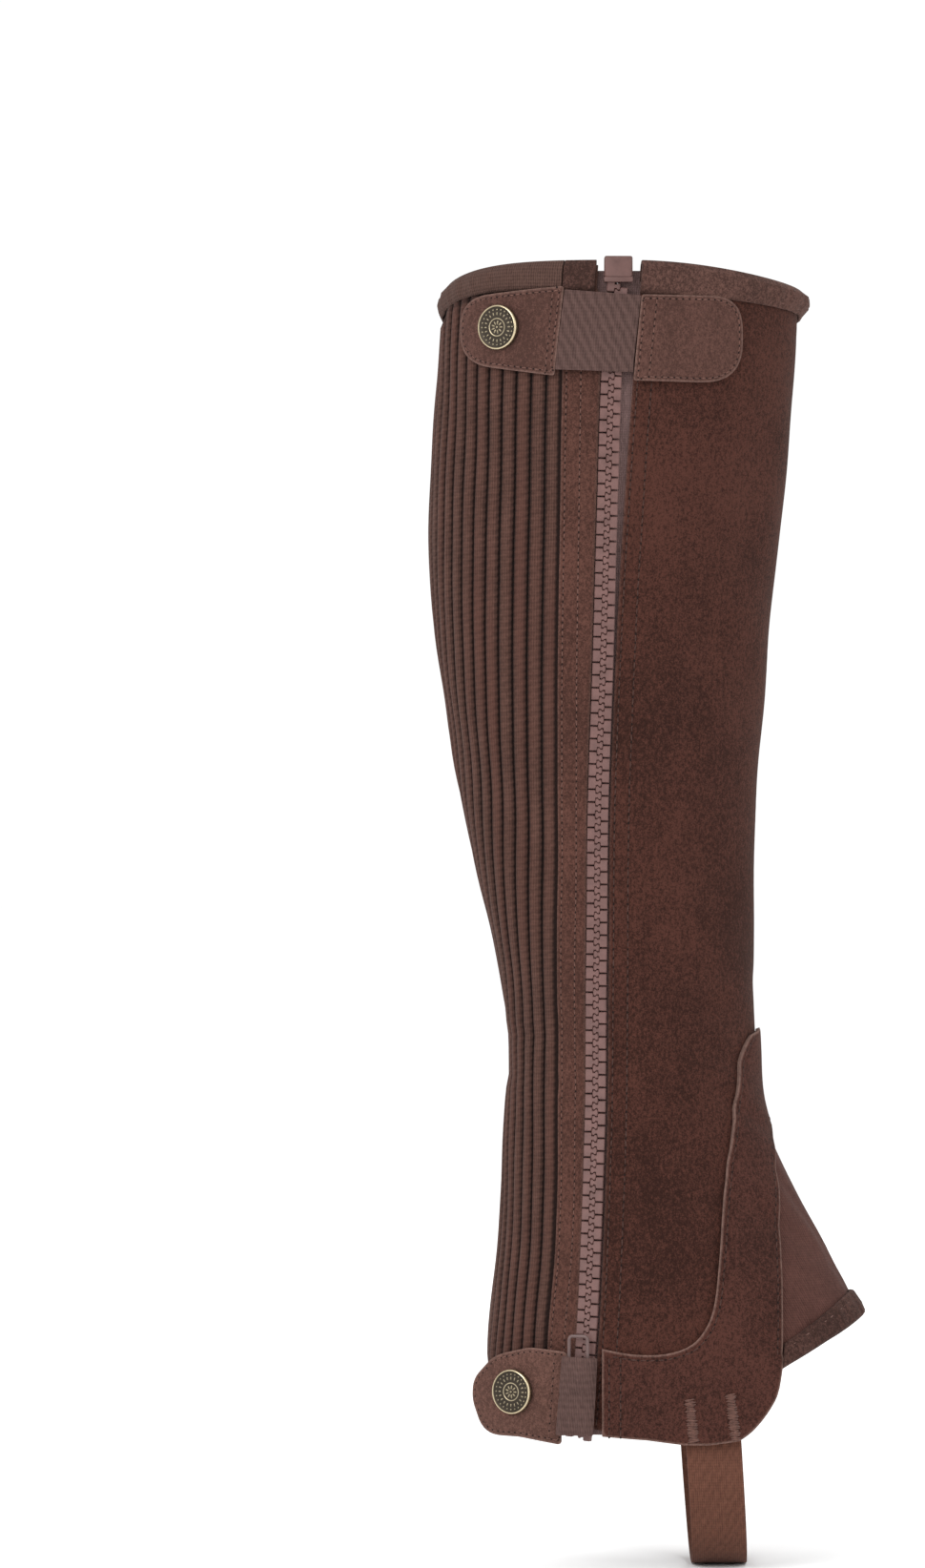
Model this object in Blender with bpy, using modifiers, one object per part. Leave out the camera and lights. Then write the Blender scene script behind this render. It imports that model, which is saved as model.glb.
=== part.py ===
"""A riding half chap for the right leg, filled out as on a leg, as named solids.

Frame: metres, +Z up, +X towards the toe, -Y the outer side of the leg. The origin
is inside the leg, at the height of the calf's widest. Tables and sizes are in
millimetres. An angle goes round the leg in degrees: 0 back, 90 outer side, 180 shin,
270 inner side. "Out" is a distance from the panels' outer face, level, away from the leg.
"""

from functools import lru_cache
from math import acos, ceil, cos, degrees, hypot, pi, radians, sin

import bmesh
import bpy
from mathutils import Matrix, Vector
from mathutils.geometry import delaunay_2d_cdt

MM = 0.001
SEAM_GAP = 0.3
SHIN_GAP = 0.24
SUEDE = 1.4
STRETCH = 1.6
OVERLAY_GAP = 0.45
COLUMN = 9.0
ROW = 18.0
ANKLE_ROWS = (-240.0, -160.0)
# Millimetres for each degree in the flat layout that panels are cut into triangles in
FLAT = 0.8
# Near the hem's height, where a search for the hem starts
HEM_Z = -298.0

# Sections of the leg: height z, back x, front x, half depth, egg factor
SECTIONS = (
    (-330, -41.4, 118.0, 41.0, 0.24),
    (-300, -40.8, 104.0, 40.5, 0.24),
    (-270, -39.6, 88.3, 39.5, 0.24),
    (-254, -38.5, 79.6, 38.5, 0.22),
    (-238, -37.0, 71.1, 37.5, 0.20),
    (-222, -36.1, 62.6, 36.2, 0.17),
    (-206, -35.5, 55.4, 34.8, 0.14),
    (-190, -34.5, 50.8, 33.8, 0.12),
    (-174, -33.5, 49.5, 33.4, 0.11),
    (-150, -36.1, 48.5, 33.8, 0.10),
    (-120, -42.6, 48.1, 35.2, 0.10),
    (-90, -48.8, 49.5, 37.2, 0.10),
    (-60, -54.9, 51.7, 39.4, 0.10),
    (-30, -58.7, 54.3, 41.4, 0.10),
    (0, -60.1, 57.4, 42.6, 0.10),
    (30, -58.9, 60.0, 42.8, 0.09),
    (60, -57.1, 62.4, 42.6, 0.08),
    (90, -54.5, 64.6, 42.0, 0.08),
    (110, -53.0, 66.0, 41.8, 0.08),
)

# The rim: height at back and shin, rise on the outer side, fall on the inner side, and
# how full its curve is on the inner side and on the outer side's back and front
RIM_MIDDLE = 81.0
RIM_RISE = 8.8
RIM_FALL = 8.0
RIM_FULLNESS = (0.3, 0.5, -0.45)

# The hem of the leg panels: side-view x, height on the outer side, on the inner side
HEM = (
    (-44, -289.0, -288.0),
    (-20, -296.5, -293.5),
    (0, -300.6, -298.5),
    (20, -303.4, -303.5),
    (40, -303.4, -305.5),
    (47, -299.6, -302.5),
    (52, -295.0, -297.0),
)

# Lines down the outer side: height z, side-view x of the zip strip's back edge, of the
# chain's middle, of the outer panel's edge
ZIP_LINES = (
    (-310, -24.0, -12.0, -8.0),
    (-300, -23.6, -11.2, -7.2),
    (-281, -22.2, -9.6, -5.7),
    (-265, -21.4, -8.5, -4.6),
    (-236, -19.1, -7.1, -3.2),
    (-195, -18.2, -5.7, -1.8),
    (-141, -18.4, -5.2, -1.3),
    (-93, -18.4, -4.8, -0.9),
    (-45, -18.3, -3.3, 0.8),
    (8, -17.6, -1.8, 3.7),
    (49, -17.0, -0.5, 6.6),
    (70, -16.7, 0.8, 7.9),
    (82, -16.5, 1.6, 9.3),
    (100, -16.3, 2.4, 10.0),
)

# The suede strip inside the calf: height z, degrees short of the back of its seam with
# the inner panel, and of its seam with the ribs
STRIP_LINES = (
    (-310, 46.0, 28.0),
    (-270, 48.5, 29.5),
    (-245, 51.0, 31.0),
    (-215, 51.5, 27.0),
    (-185, 49.5, 18.5),
    (-150, 49.0, 17.0),
    (-110, 48.5, 20.5),
    (-65, 48.0, 25.0),
    (-30, 45.0, 24.0),
    (0, 39.5, 19.5),
    (30, 37.0, 17.0),
    (95, 36.0, 16.0),
)

# The foot's front: height z, degrees from the front of the guard's notch, and of the
# gusset's seams under the guard
FOOT_FRONT = (
    (-310, 72.0, 80.0),
    (-287, 66.5, 75.0),
    (-272, 60.5, 69.5),
    (-254, 52.5, 61.5),
    (-236, 42.5, 52.0),
    (-218.5, 29.0, 39.5),
    (-206.5, 16.0, 27.0),
    (-198.4, 0.0, 12.0),
    (-190, 0.0, 0.0),
)
GUARD_NOTCH = -198.4
GUSSET_TIP = -190.0
# Heights of the points down each side of the notch
NOTCH_HEIGHTS = (-272, -264, -256, -247, -238, -229, -220, -212, -206, -202)

# The gusset's lower edge: a straight line in side view
TOE_X = 84.0
TOE_Z = -262.0
TOE_SLOPE = 0.58

# Guard outline, outer side, from the zip up to its tip on the shin: side-view x, z
GUARD_OUTER = (
    (-3.6, -272.6),
    (7, -274.4),
    (18, -274.2),
    (26.5, -271.2),
    (31.7, -265.0),
    (34.3, -257.0),
    (35.6, -245.0),
    (37.0, -229.0),
    (39.2, -210.0),
    (42.2, -190.0),
    (45.2, -174.5),
    (48.2, -168.8),
)
GUARD_TIP = -166.8
# Guard outline, inner side, from its tip down to the hem: side-view x, z
GUARD_INNER = (
    (50.2, -170.4),
    (48.6, -178.0),
    (46.2, -190.0),
    (43.8, -212.0),
    (40.2, -235.0),
    (38.4, -257.0),
    (39.4, -278.0),
    (41.0, -304.6),
)
# Guard's front corner below the notch, both sides: side-view x, z
GUARD_CORNER = (
    (57.6, -276.5),
    (57.0, -281.5),
    (55.4, -288.6),
    (51.8, -294.6),
    (47.0, -300.0),
    (42.4, -303.4),
)
# Guard's lower edge on the outer side and up its rear edge: side-view x, z
GUARD_HEM = (
    (32, -304.6),
    (23.7, -304.5),
    (11.6, -302.9),
    (-3.6, -301.8),
    (-3.6, -287.2),
)
# The hem binding steps out over the guard: mm behind its edge, degrees the step takes
GUARD_STEP = (2.0, 7.0)

# The teardrop patch inside the calf: height z, back x, front x
PATCH = (
    (32, -14.5, 29.0),
    (22, -27.0, 42.5),
    (8, -33.5, 50.0),
    (-15, -33.3, 52.3),
    (-54, -29.0, 48.3),
    (-92, -23.0, 37.6),
    (-130, -14.8, 28.0),
    (-170, -5.4, 25.9),
    (-195, 2.8, 26.6),
    (-206, 8.2, 24.0),
)
PATCH_TOP = (6.5, 36.2)
PATCH_BOTTOM = (16.2, -211.2)

# Strap outlines: corners with side-view x, z and corner radius
TOP_SNAP_TAB = ((-16.3, 80.2, 1.0), (-50.9, 78.2, 10.0), (-51.0, 56.0, 13.0), (-19.7, 51.3, 1.0))
TOP_ELASTIC = ((9.1, 78.0, 0.4), (-15.8, 79.2, 0.4), (-19.1, 53.4, 0.4), (6.5, 52.4, 0.4))
TOP_TAB = ((44.4, 78.3, 8.0), (9.6, 78.3, 1.0), (6.9, 49.6, 1.0), (44.2, 49.2, 11.0))
ANKLE_SNAP_TAB = (
    (-15.2, -273.8, 2.0),
    (-28.0, -272.6, 14.0),
    (-45.6, -278.4, 14.0),
    (-46.9, -290.0, 14.0),
    (-44.6, -303.4, 12.0),
    (-31.0, -302.6, 14.0),
    (-17.4, -304.8, 1.0),
)
ANKLE_ELASTIC = (
    (-4.6, -275.6, 0.4),
    (-15.0, -275.0, 0.4),
    (-17.0, -301.4, 0.4),
    (-5.6, -301.4, 0.4),
)
# The ankle tab stands off the heel: side-view x, depth y of its outer face
ANKLE_TAB_PLAN = ((-48.0, -18.6), (-44.0, -22.3), (-33.0, -30.2), (-24.0, -35.2), (-14.0, -39.2))
ANKLE_GRID = 5
# The ankle elastic rides over the slider: side-view x, out of its outer face
ANKLE_RIDE = ((-19.0, 3.6), (-16.0, 5.0), (-10.0, 5.2), (-6.4, 4.9), (-4.0, 1.8))
ELASTIC = 1.0
ELASTIC_RIDE = 1.1
# The sewn tab of the top strap rises over the elastic's end: side-view x of the ramp
TOP_TAB_RAMP = (12.0, 22.0)
TOP_TAB_RISE = 1.3

RIB_PITCH = 5.2
RIB_HEIGHT = 1.5
RIB_VALLEY = -0.3
RIB_BACKING = 1.2
RIB_SHOULDERS = (0.28, 0.72)
RIB_RUNOUT = 2.6
# How much wider than high the rib panel's flat layout is, so that triangles run along ribs
RIB_LAYOUT = 6.0
RIB_SHORT_TOP = 60.0
RIB_SHORT_LOW = -290.0
RIB_BACK_STEP = 8

BINDING = 1.3
RIM_BAND = 8.0
RIM_INSIDE = 7.5
HEM_BAND = 8.4
HEM_BAND_FRONT = (48.0, -302.0)
HEM_BAND_END = 358.0
TOE_BAND = 8.5
TOE_LEAN = 0.0072
TOE_UNDER = 1.9
TOE_FLOOR = 0.9
TOE_SHORT = 0.6
PANEL_EDGE = 1.6
# Degrees left between two bindings that meet
BAND_GAP = 0.2
# Side-view x of the ends of the bindings beside the zip
RIM_ZIP_GAP = (-5.4, 9.8)

TAPE = 0.8
TAPE_WIDTH = 15.0
TAPE_GAP = 0.2
TAPE_TOP = 86.4
TAPE_UNDER_RIM = 77.5
TAPE_LOW = -301.5
# Side-view x of the tape's tongue in the rim's gap
TAPE_TONGUE = (-4.9, 9.0)
CHAIN_HALF = 3.5
CHAIN_RISE = 0.8
CHAIN_DEPTH = 2.3
CHAIN_TOP = 82.0
CHAIN_LOW = -303.6
BOX_SIZE = (9.4, 4.4, 8.8)
BOX_Z = 86.7
BOX_CLEAR = 3.0
BOX_CLEAR_Z = (74.0, 80.0)
SLIDER_Z = -283.0
SLIDER_SIZE = (8.6, 1.0, 12.0)
BRIDGE_SIZE = (1.8, 2.0, 5.0)
BRIDGE_AT = (0.0, -1.3, 2.0)
METAL_ROUNDING = 0.4
PULL_SIZE = (7.6, 17.6)
PULL_WIRE = 0.6
PULL_CORNER = 1.4
PULL_Z = -276.6
PULL_X = -10.5

# A snap cap's turned outline, a thin raised rim round a low dome: radius, height
SNAP_PROFILE = (
    (0.0, 1.5),
    (5.0, 1.4),
    (6.6, 1.1),
    (6.96, 1.7),
    (7.32, 1.6),
    (7.5, 1.0),
    (7.5, 0.0),
    (0.0, 0.0),
)
SNAP_STEPS = 24
TOP_SNAP = (-38.1, 67.8)
ANKLE_SNAP = (-33.0, -287.6)

STRAP_X = (24.5, 43.0)
STRAP_SKEW = 2.8
STRAP_THICK = 1.5
STRAP_DROP = 44.0
STRAP_ROWS = (-291.0, -297.0, -303.5)
STRAP_TURNS = 16
STRAP_FULLNESS = 2.4

COLOURS = {
    "suede": (0.098, 0.040, 0.027),
    "stretch": (0.065, 0.026, 0.020),
    "ribs": (0.080, 0.042, 0.032),
    "elastic": (0.122, 0.076, 0.065),
    "tape": (0.262, 0.181, 0.188),
    "zip": (0.202, 0.112, 0.102),
    "webbing": (0.122, 0.040, 0.020),
    "brass": (0.305, 0.188, 0.061),
}
METALS = {"brass"}


def smooth(rows, at, column):
    """Value of a column on a smooth curve through a table's rows, whose first column rises."""
    last = len(rows) - 2
    i = 0
    while i < last and at > rows[i + 1][0]:
        i += 1

    def slope(k):
        a, b = max(k - 1, 0), min(k + 1, len(rows) - 1)
        return (rows[b][column] - rows[a][column]) / (rows[b][0] - rows[a][0])

    step = rows[i + 1][0] - rows[i][0]
    t = min(max((at - rows[i][0]) / step, 0.0), 1.0)
    start = rows[i][column]
    change = rows[i + 1][column] - start
    bend = (1 - t) * (slope(i) * step - change) - t * (slope(i + 1) * step - change)
    return start + change * t + t * (1 - t) * bend


@lru_cache(maxsize=None)
def section(z):
    """Middle x, half length, half depth and egg factor of the leg at height z."""
    back, front, half, egg = (smooth(SECTIONS, z, column) for column in (1, 2, 3, 4))
    return (front + back) / 2, (front - back) / 2, half, egg


def leg(angle, z):
    """Point (x, y) of the panels' outer face, and its change with the angle in radians."""
    middle, reach, half, egg = section(z)
    c, s = cos(radians(angle)), sin(radians(angle))
    at = (middle - reach * c, -half * s * (1 + egg * c))
    along = (reach * s, -half * (c + egg * (c * c - s * s)))
    return at, along


def spot(angle, z, out=0.0):
    """Point on the leg moved out, level."""
    (x, y), (dx, dy) = leg(angle, z)
    size = hypot(dx, dy)
    return Vector((x + dy / size * out, y - dx / size * out, z))


def rate(angle, z):
    """Girth in mm for each degree."""
    return hypot(*leg(angle, z)[1]) * pi / 180


def around(angle, z, distance):
    """The angle that lies a distance further round the leg."""
    steps = ceil(abs(distance) / 2)
    for _ in range(steps):
        step = distance / steps
        middle = angle + step / 2 / rate(angle, z)
        angle += step / rate(middle, z)
    return angle


def girth(start, end, z):
    """Distance round the leg between two angles."""
    steps = max(1, ceil((end - start) / 2))
    step = (end - start) / steps
    return sum(rate(start + (i + 0.5) * step, z) * step for i in range(steps))


def outer_angle(x, z, out=0.0):
    """The angle on the outer side whose point, moved out, has this side-view x."""
    middle, reach, _, _ = section(z)
    aim = x
    angle = 90.0
    for _ in range(6):
        angle = degrees(acos(min(max((middle - aim) / reach, -1.0), 1.0)))
        aim += (x - spot(angle, z, out).x) * 0.9
    return angle


def inner_angle(x, z, out=0.0):
    return 360 - outer_angle(x, z, out)


def zip_strip_back(z):
    return outer_angle(smooth(ZIP_LINES, z, 1), z)


def zip_middle(z):
    return outer_angle(smooth(ZIP_LINES, z, 2), z)


def panel_edge(z):
    return outer_angle(smooth(ZIP_LINES, z, 3), z)


def strip_front(z):
    return -smooth(STRIP_LINES, z, 1)


def strip_back(z):
    return -smooth(STRIP_LINES, z, 2)


def notch(z):
    return max(smooth(FOOT_FRONT, z, 1), 0.0)


def gusset_seam(z):
    return max(smooth(FOOT_FRONT, z, 2), 0.0) if z < GUSSET_TIP else 0.0


def rim(angle):
    """Height of the finished rim."""
    s = sin(radians(angle))
    inner, back, front = RIM_FULLNESS
    full = inner if s <= 0 else (back if cos(radians(angle)) > 0 else front)
    swing = (1 + full) * s - full * s ** 3
    return RIM_MIDDLE + (RIM_RISE if s > 0 else RIM_FALL) * swing


def panel_top(angle):
    """Height of the panels' upper edge, inside the rim's binding."""
    return rim(angle) - PANEL_EDGE


def hem(angle):
    """Height of the leg panels' lower edge."""
    column = 1 if 0 < angle % 360 < 180 else 2
    z = HEM_Z
    for _ in range(8):
        z = smooth(HEM, leg(angle, z)[0][0], column)
    return z


def toe_hem(angle):
    """Height of the gusset's lower edge."""
    z = TOE_Z
    for _ in range(12):
        z = TOE_Z - (TOE_X - leg(angle, z)[0][0]) * TOE_SLOPE
    return z


def rows_between(low, high, finer=1):
    """Heights on the shared rows strictly between two heights; the ankle has twice as many."""
    step = ROW / 2 / finer
    heights = [k * step for k in range(ceil((low + 1.5) / step), ceil((high - 1.5) / step))]
    return [z for z in heights if finer > 1 or z % ROW == 0 or ANKLE_ROWS[0] < z < ANKLE_ROWS[1]]


def columns_between(low, high):
    """Angles on the shared columns strictly between two angles."""
    count = range(ceil((low + 1.0) / COLUMN), ceil((high - 1.0) / COLUMN))
    return [k * COLUMN for k in count]


def seam(line, low, high, shift=0.0):
    """Points up a seam, moved round the leg by a distance."""
    heights = [low, *rows_between(low, high), high]
    return [(line(z) + shift / rate(line(z), z), z) for z in heights]


def edge(line, start, end):
    """Points along a rim or hem between two angles, the first left out."""
    low, high = min(start, end), max(start, end)
    angles = columns_between(low, high)
    if start > end:
        angles.reverse()
    return [(angle, line(angle)) for angle in [*angles, end]]


def thinned(points, least=0.4):
    """The points without those that lie too close to the one before."""
    kept = []
    for angle, z in points:
        if not kept or hypot((angle - kept[-1][0]) * FLAT, z - kept[-1][1]) > least:
            kept.append((angle, z))
    if hypot((kept[0][0] - kept[-1][0]) * FLAT, kept[0][1] - kept[-1][1]) < least:
        kept.pop()
    return kept


def rounded(corners, arc_steps=4):
    """Outline in side view through corners (x, z, radius), with its corners rounded."""
    outline = []
    for i, (x, z, radius) in enumerate(corners):
        here = Vector((x, z))
        before = Vector(corners[i - 1][:2]) - here
        after = Vector(corners[(i + 1) % len(corners)][:2]) - here
        half = before.angle(after) / 2
        setback = min(radius * cos(half) / sin(half), before.length * 0.48, after.length * 0.48)
        start = here + before.normalized() * setback
        end = here + after.normalized() * setback
        for k in range(arc_steps + 1):
            t = k / arc_steps
            outline.append(tuple(start * (1 - t) ** 2 + here * 2 * t * (1 - t) + end * t * t))
    return outline


def smooth_path(points, parts, closed=False):
    """A smooth path through points, each span cut in parts."""
    count = len(points)
    path = []
    for i in range(count if closed else count - 1):
        if closed:
            p = [Vector(points[(i + k - 1) % count]) for k in range(4)]
        else:
            p = [Vector(points[min(max(i + k - 1, 0), count - 1)]) for k in range(4)]
        for k in range(parts):
            t = k / parts
            near = (p[2] - p[0]) * t * (1 - t) ** 2 / 2
            far = (p[3] - p[1]) * t * t * (1 - t) / 2
            here = p[1] * (1 + 2 * t) * (1 - t) ** 2 + p[2] * t * t * (3 - 2 * t)
            path.append(tuple(here + near - far))
    if not closed:
        path.append(tuple(points[-1]))
    return path


def split_long(outline, longest):
    """The closed outline with points added where two are far apart."""
    points = []
    for i, start in enumerate(outline):
        a, b = Vector(start), Vector(outline[(i + 1) % len(outline)])
        parts = max(1, ceil((b - a).length / longest))
        points += [tuple(a.lerp(b, k / parts)) for k in range(parts)]
    return points


def inside(point, outline, margin):
    """Whether a flat point lies within an outline and off its edge by a margin."""
    u, v = point
    within = False
    for i, (u1, v1) in enumerate(outline):
        u0, v0 = outline[i - 1]
        if (v0 > v) != (v1 > v) and u < u0 + (u1 - u0) * (v - v0) / (v1 - v0):
            within = not within
        du, dv = u1 - u0, v1 - v0
        t = min(max(((u - u0) * du + (v - v0) * dv) / (du * du + dv * dv), 0.0), 1.0)
        if hypot(u0 + t * du - u, v0 + t * dv - v) < margin:
            return False
    return within


def triangles(outline, points):
    """Flat triangles over an outline and the points in it, turned counter-clockwise."""
    flat = [Vector(p) for p in [*outline, *points]]
    found = delaunay_2d_cdt(flat, [], [list(range(len(outline)))], 1, 1e-4)
    places = [tuple(v) for v in found[0]]
    faces = []
    for face in found[2]:
        (u0, v0), (u1, v1), (u2, v2) = (places[i] for i in face)
        turn = (u1 - u0) * (v2 - v0) - (u2 - u0) * (v1 - v0)
        faces.append(tuple(face) if turn > 0 else tuple(reversed(face)))
    return places, faces


def add_object(name, mesh, material, parts):
    item = bpy.data.objects.new(name, mesh)
    item.data.materials.append(material)
    parts.objects.link(item)
    return item


def from_faces(name, points, faces, material, parts):
    """An object from points in mm and faces."""
    mesh = bpy.data.meshes.new(name)
    mesh.from_pydata([Vector(p) * MM for p in points], [], faces)
    return add_object(name, mesh, material, parts)


def thicken(item, thickness):
    solid = item.modifiers.new("Cloth", "SOLIDIFY")
    solid.thickness = thickness * MM
    solid.offset = -1


def wall(name, outline, out, thickness, material, parts, finer=1):
    """A panel on the leg: outline in (angle, z), outer face moved out, thickness inwards.

    out is a distance, or a function of the angle and z. finer divides the grid.
    """
    outline = thinned(outline)
    flat = [(angle * FLAT, z) for angle, z in outline]
    low, high = min(z for _, z in outline), max(z for _, z in outline)
    left, right = min(a for a, _ in outline), max(a for a, _ in outline)
    columns = [a / finer for a in columns_between(left * finer, right * finer)]
    grid = [(a * FLAT, z) for a in columns for z in rows_between(low, high, finer)]
    grid = [p for p in grid if inside(p, flat, 2.4 / finer)]
    places, faces = triangles(flat, grid)
    lift = out if callable(out) else lambda angle, z: out
    points = [spot(u / FLAT, z, lift(u / FLAT, z)) for u, z in places]
    item = from_faces(name, points, faces, material, parts)
    thicken(item, thickness)
    return item


def band(name, places, profile, material, parts, lean=0.0):
    """A folded binding: a closed profile of (out, height) swept along places (angle, z).

    Its sections lean towards the front by lean degrees a mm, for each degree from the front.
    """
    mesh = bmesh.new()
    rings = []
    for angle, z in places:
        turn = lean * (180 - angle)
        ring = [spot(angle + turn * rise, z + rise, out) for out, rise in profile(angle)]
        rings.append([mesh.verts.new(point * MM) for point in ring])
    count = len(rings[0])
    for one, two in zip(rings, rings[1:]):
        for i in range(count):
            k = (i + 1) % count
            mesh.faces.new((one[i], one[k], two[k], two[i]))
    mesh.faces.new(rings[0])
    mesh.faces.new(reversed(rings[-1]))
    bmesh.ops.recalc_face_normals(mesh, faces=mesh.faces)
    data = bpy.data.meshes.new(name)
    mesh.to_mesh(data)
    mesh.free()
    return add_object(name, data, material, parts)


def rim_profile(edge_height, inner_face):
    """Binding folded over the rim: a U whose legs clear the wall."""
    out = SEAM_GAP
    into = inner_face - SEAM_GAP

    def profile(_):
        return (
            (out, -RIM_BAND),
            (out + BINDING, -RIM_BAND),
            (out + BINDING + 0.6, -RIM_BAND * 0.5),
            (out + BINDING + 0.3, -1.6),
            (out + 0.4, -0.3),
            ((out + into) / 2, 0.0),
            (into - 0.4, -0.3),
            (into - BINDING, -1.6),
            (into - BINDING, -RIM_INSIDE),
            (into, -RIM_INSIDE),
            (into, edge_height),
            (out, edge_height),
        )

    return profile


def toe_profile(_):
    """Binding folded round the gusset's lower edge, the same at every angle."""
    out = SEAM_GAP
    into = -SUEDE - SEAM_GAP
    return (
        (into, TOE_FLOOR),
        (into, TOE_BAND * 0.8),
        (into - BINDING, TOE_BAND * 0.8),
        (into - BINDING, 0.6),
        ((into + out) / 2, 0.0),
        (out + BINDING, 0.6),
        (out + BINDING + 0.3, TOE_BAND * 0.5),
        (out + BINDING, TOE_BAND),
        (out, TOE_BAND),
        (out, TOE_FLOOR),
    )


def guard_heel():
    """Angles between which the hem binding steps out over the guard's inner leg."""
    x, z = GUARD_INNER[-1]
    angle = inner_angle(x - GUARD_STEP[0], z)
    return angle, angle + GUARD_STEP[1]


def hem_profile(angle):
    """Binding of the inner hem; it steps out where the guard lies under it."""
    near, far = guard_heel()
    step = min(max((far - angle) / (far - near), 0.0), 1.0)
    out = SEAM_GAP + (SUEDE + OVERLAY_GAP) * step
    return (
        (-STRETCH, -SEAM_GAP - BINDING),
        (out + BINDING * 0.6, -SEAM_GAP - BINDING),
        (out + BINDING, -SEAM_GAP - BINDING * 0.5),
        (out + BINDING + 0.2, HEM_BAND * 0.5),
        (out + BINDING, HEM_BAND - BINDING),
        (out, HEM_BAND - BINDING),
        (out, -SEAM_GAP),
        (-STRETCH, -SEAM_GAP),
    )


def make_outer_panel(materials, parts):
    top, low = panel_top(panel_edge(RIM_MIDDLE)), hem(panel_edge(HEM_Z))
    outline = list(reversed(seam(panel_edge, low, top, SEAM_GAP / 2)))
    front = hem(180 - gusset_seam(HEM_Z))
    outline += edge(hem, outline[-1][0], 180 - gusset_seam(front))
    outline += seam(lambda z: 180 - gusset_seam(z), front, panel_top(180), -SHIN_GAP)[1:]
    outline += edge(panel_top, outline[-1][0], outline[0][0])[:-1]
    return wall("outer_panel", outline, 0.0, SUEDE, materials["suede"], parts)


def make_inner_panel(materials, parts):
    front = hem(180 + gusset_seam(HEM_Z))
    shin = seam(lambda z: 180 + gusset_seam(z), front, panel_top(180), SHIN_GAP)
    outline = list(reversed(shin))
    back = 360 + strip_front(HEM_Z)
    outline += edge(hem, outline[-1][0], back)[:-1]
    low, high = hem(back), panel_top(360 + strip_front(RIM_MIDDLE))
    outline += seam(lambda z: 360 + strip_front(z), low, high, -SEAM_GAP / 2)
    outline += edge(panel_top, outline[-1][0], outline[0][0])[:-1]
    return wall("inner_panel", outline, 0.0, STRETCH, materials["stretch"], parts)


def strip_outline(left, right):
    """Outline of a narrow strip between two seam lines, from the rim to the hem."""
    top_left, top_right = panel_top(left(RIM_MIDDLE)), panel_top(right(RIM_MIDDLE))
    outline = list(reversed(seam(left, hem(left(HEM_Z)), top_left, SEAM_GAP / 2)))
    outline += edge(hem, outline[-1][0], right(HEM_Z))[:-1]
    outline += seam(right, hem(right(HEM_Z)), top_right, -SEAM_GAP / 2)
    outline += edge(panel_top, outline[-1][0], outline[0][0])[:-1]
    return outline


def make_inner_strip(materials, parts):
    outline = strip_outline(strip_front, strip_back)
    return wall("inner_strip", outline, 0.0, SUEDE, materials["suede"], parts)


def make_zip_strip(materials, parts):
    """The strip beside the chain; it opens near the top, round the zip's box."""
    low, high = BOX_CLEAR_Z

    def front(z):
        opening = BOX_CLEAR * min(max((z - low) / (high - low), 0.0), 1.0)
        return around(zip_middle(z), z, -CHAIN_HALF - SEAM_GAP - opening)

    outline = strip_outline(zip_strip_back, front)
    return wall("zip_strip", outline, 0.0, SUEDE, materials["suede"], parts)


def make_patch(materials, parts):
    rows = sorted(PATCH)
    points = [PATCH_BOTTOM, *((front, z) for z, _, front in rows), PATCH_TOP]
    points += [(back, z) for z, back, _ in reversed(rows)]
    out = OVERLAY_GAP + SUEDE
    path = split_long(smooth_path(points, 2, closed=True), longest=12.0)
    outline = [(inner_angle(x, z, out), z) for x, z in path]
    return wall("inner_patch", outline, out, SUEDE, materials["suede"], parts)


def guard_spots(rows, angle_of, out):
    return [(angle_of(x, z, out), z) for x, z in rows]


def make_foot_guard(materials, parts):
    """One piece over the instep, with a notch for the gusset and a leg down each side."""
    out = OVERLAY_GAP + SUEDE
    rear = reversed([*GUARD_CORNER, *GUARD_HEM])
    outline = guard_spots(reversed(smooth_path(GUARD_OUTER, 2)), outer_angle, out)
    outline += guard_spots(rear, outer_angle, out)
    outline += [(180 - notch(z), z) for z in NOTCH_HEIGHTS]
    outline.append((180.0, GUARD_NOTCH))
    outline += [(180 + notch(z), z) for z in reversed(NOTCH_HEIGHTS)]
    outline += guard_spots(GUARD_CORNER, inner_angle, out)
    outline += guard_spots(reversed(smooth_path(GUARD_INNER, 2)), inner_angle, out)
    outline.append((180.0, GUARD_TIP))
    flat = split_long([(angle * FLAT, z) for angle, z in outline], longest=6.0)
    outline = [(u / FLAT, z) for u, z in flat]
    return wall("foot_guard", outline, out, SUEDE, materials["suede"], parts)


def toe_corner(side):
    """Where the gusset's seam meets its lower edge."""
    angle = 180 - side * gusset_seam(TOE_Z)
    for _ in range(12):
        angle = 180 - side * gusset_seam(toe_hem(angle))
    return angle, toe_hem(angle)


def make_gusset(materials, parts):
    left, low = toe_corner(1)
    right, _ = toe_corner(-1)
    tip = GUSSET_TIP - 1.0
    gap = SEAM_GAP / 2
    outline = list(reversed(seam(lambda z: 180 - gusset_seam(z), low, tip, gap)))
    outline += edge(toe_hem, outline[-1][0], right)[:-1]
    outline += seam(lambda z: 180 + gusset_seam(z), low, tip, -gap)
    return wall("gusset", outline, 0.0, SUEDE, materials["stretch"], parts)


def make_gusset_binding(materials, parts):
    def stop_at(side):
        angle = 180 - side * notch(TOE_Z)
        for _ in range(12):
            angle = 180 - side * (notch(toe_hem(angle) - TOE_UNDER) - TOE_SHORT)
        return angle

    start, end = stop_at(1), stop_at(-1)
    angles = [start, *columns_between(start, end), end]
    places = [(angle, toe_hem(angle) - TOE_UNDER) for angle in angles]
    return band("gusset_binding", places, toe_profile, materials["suede"], parts, TOE_LEAN)


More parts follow.
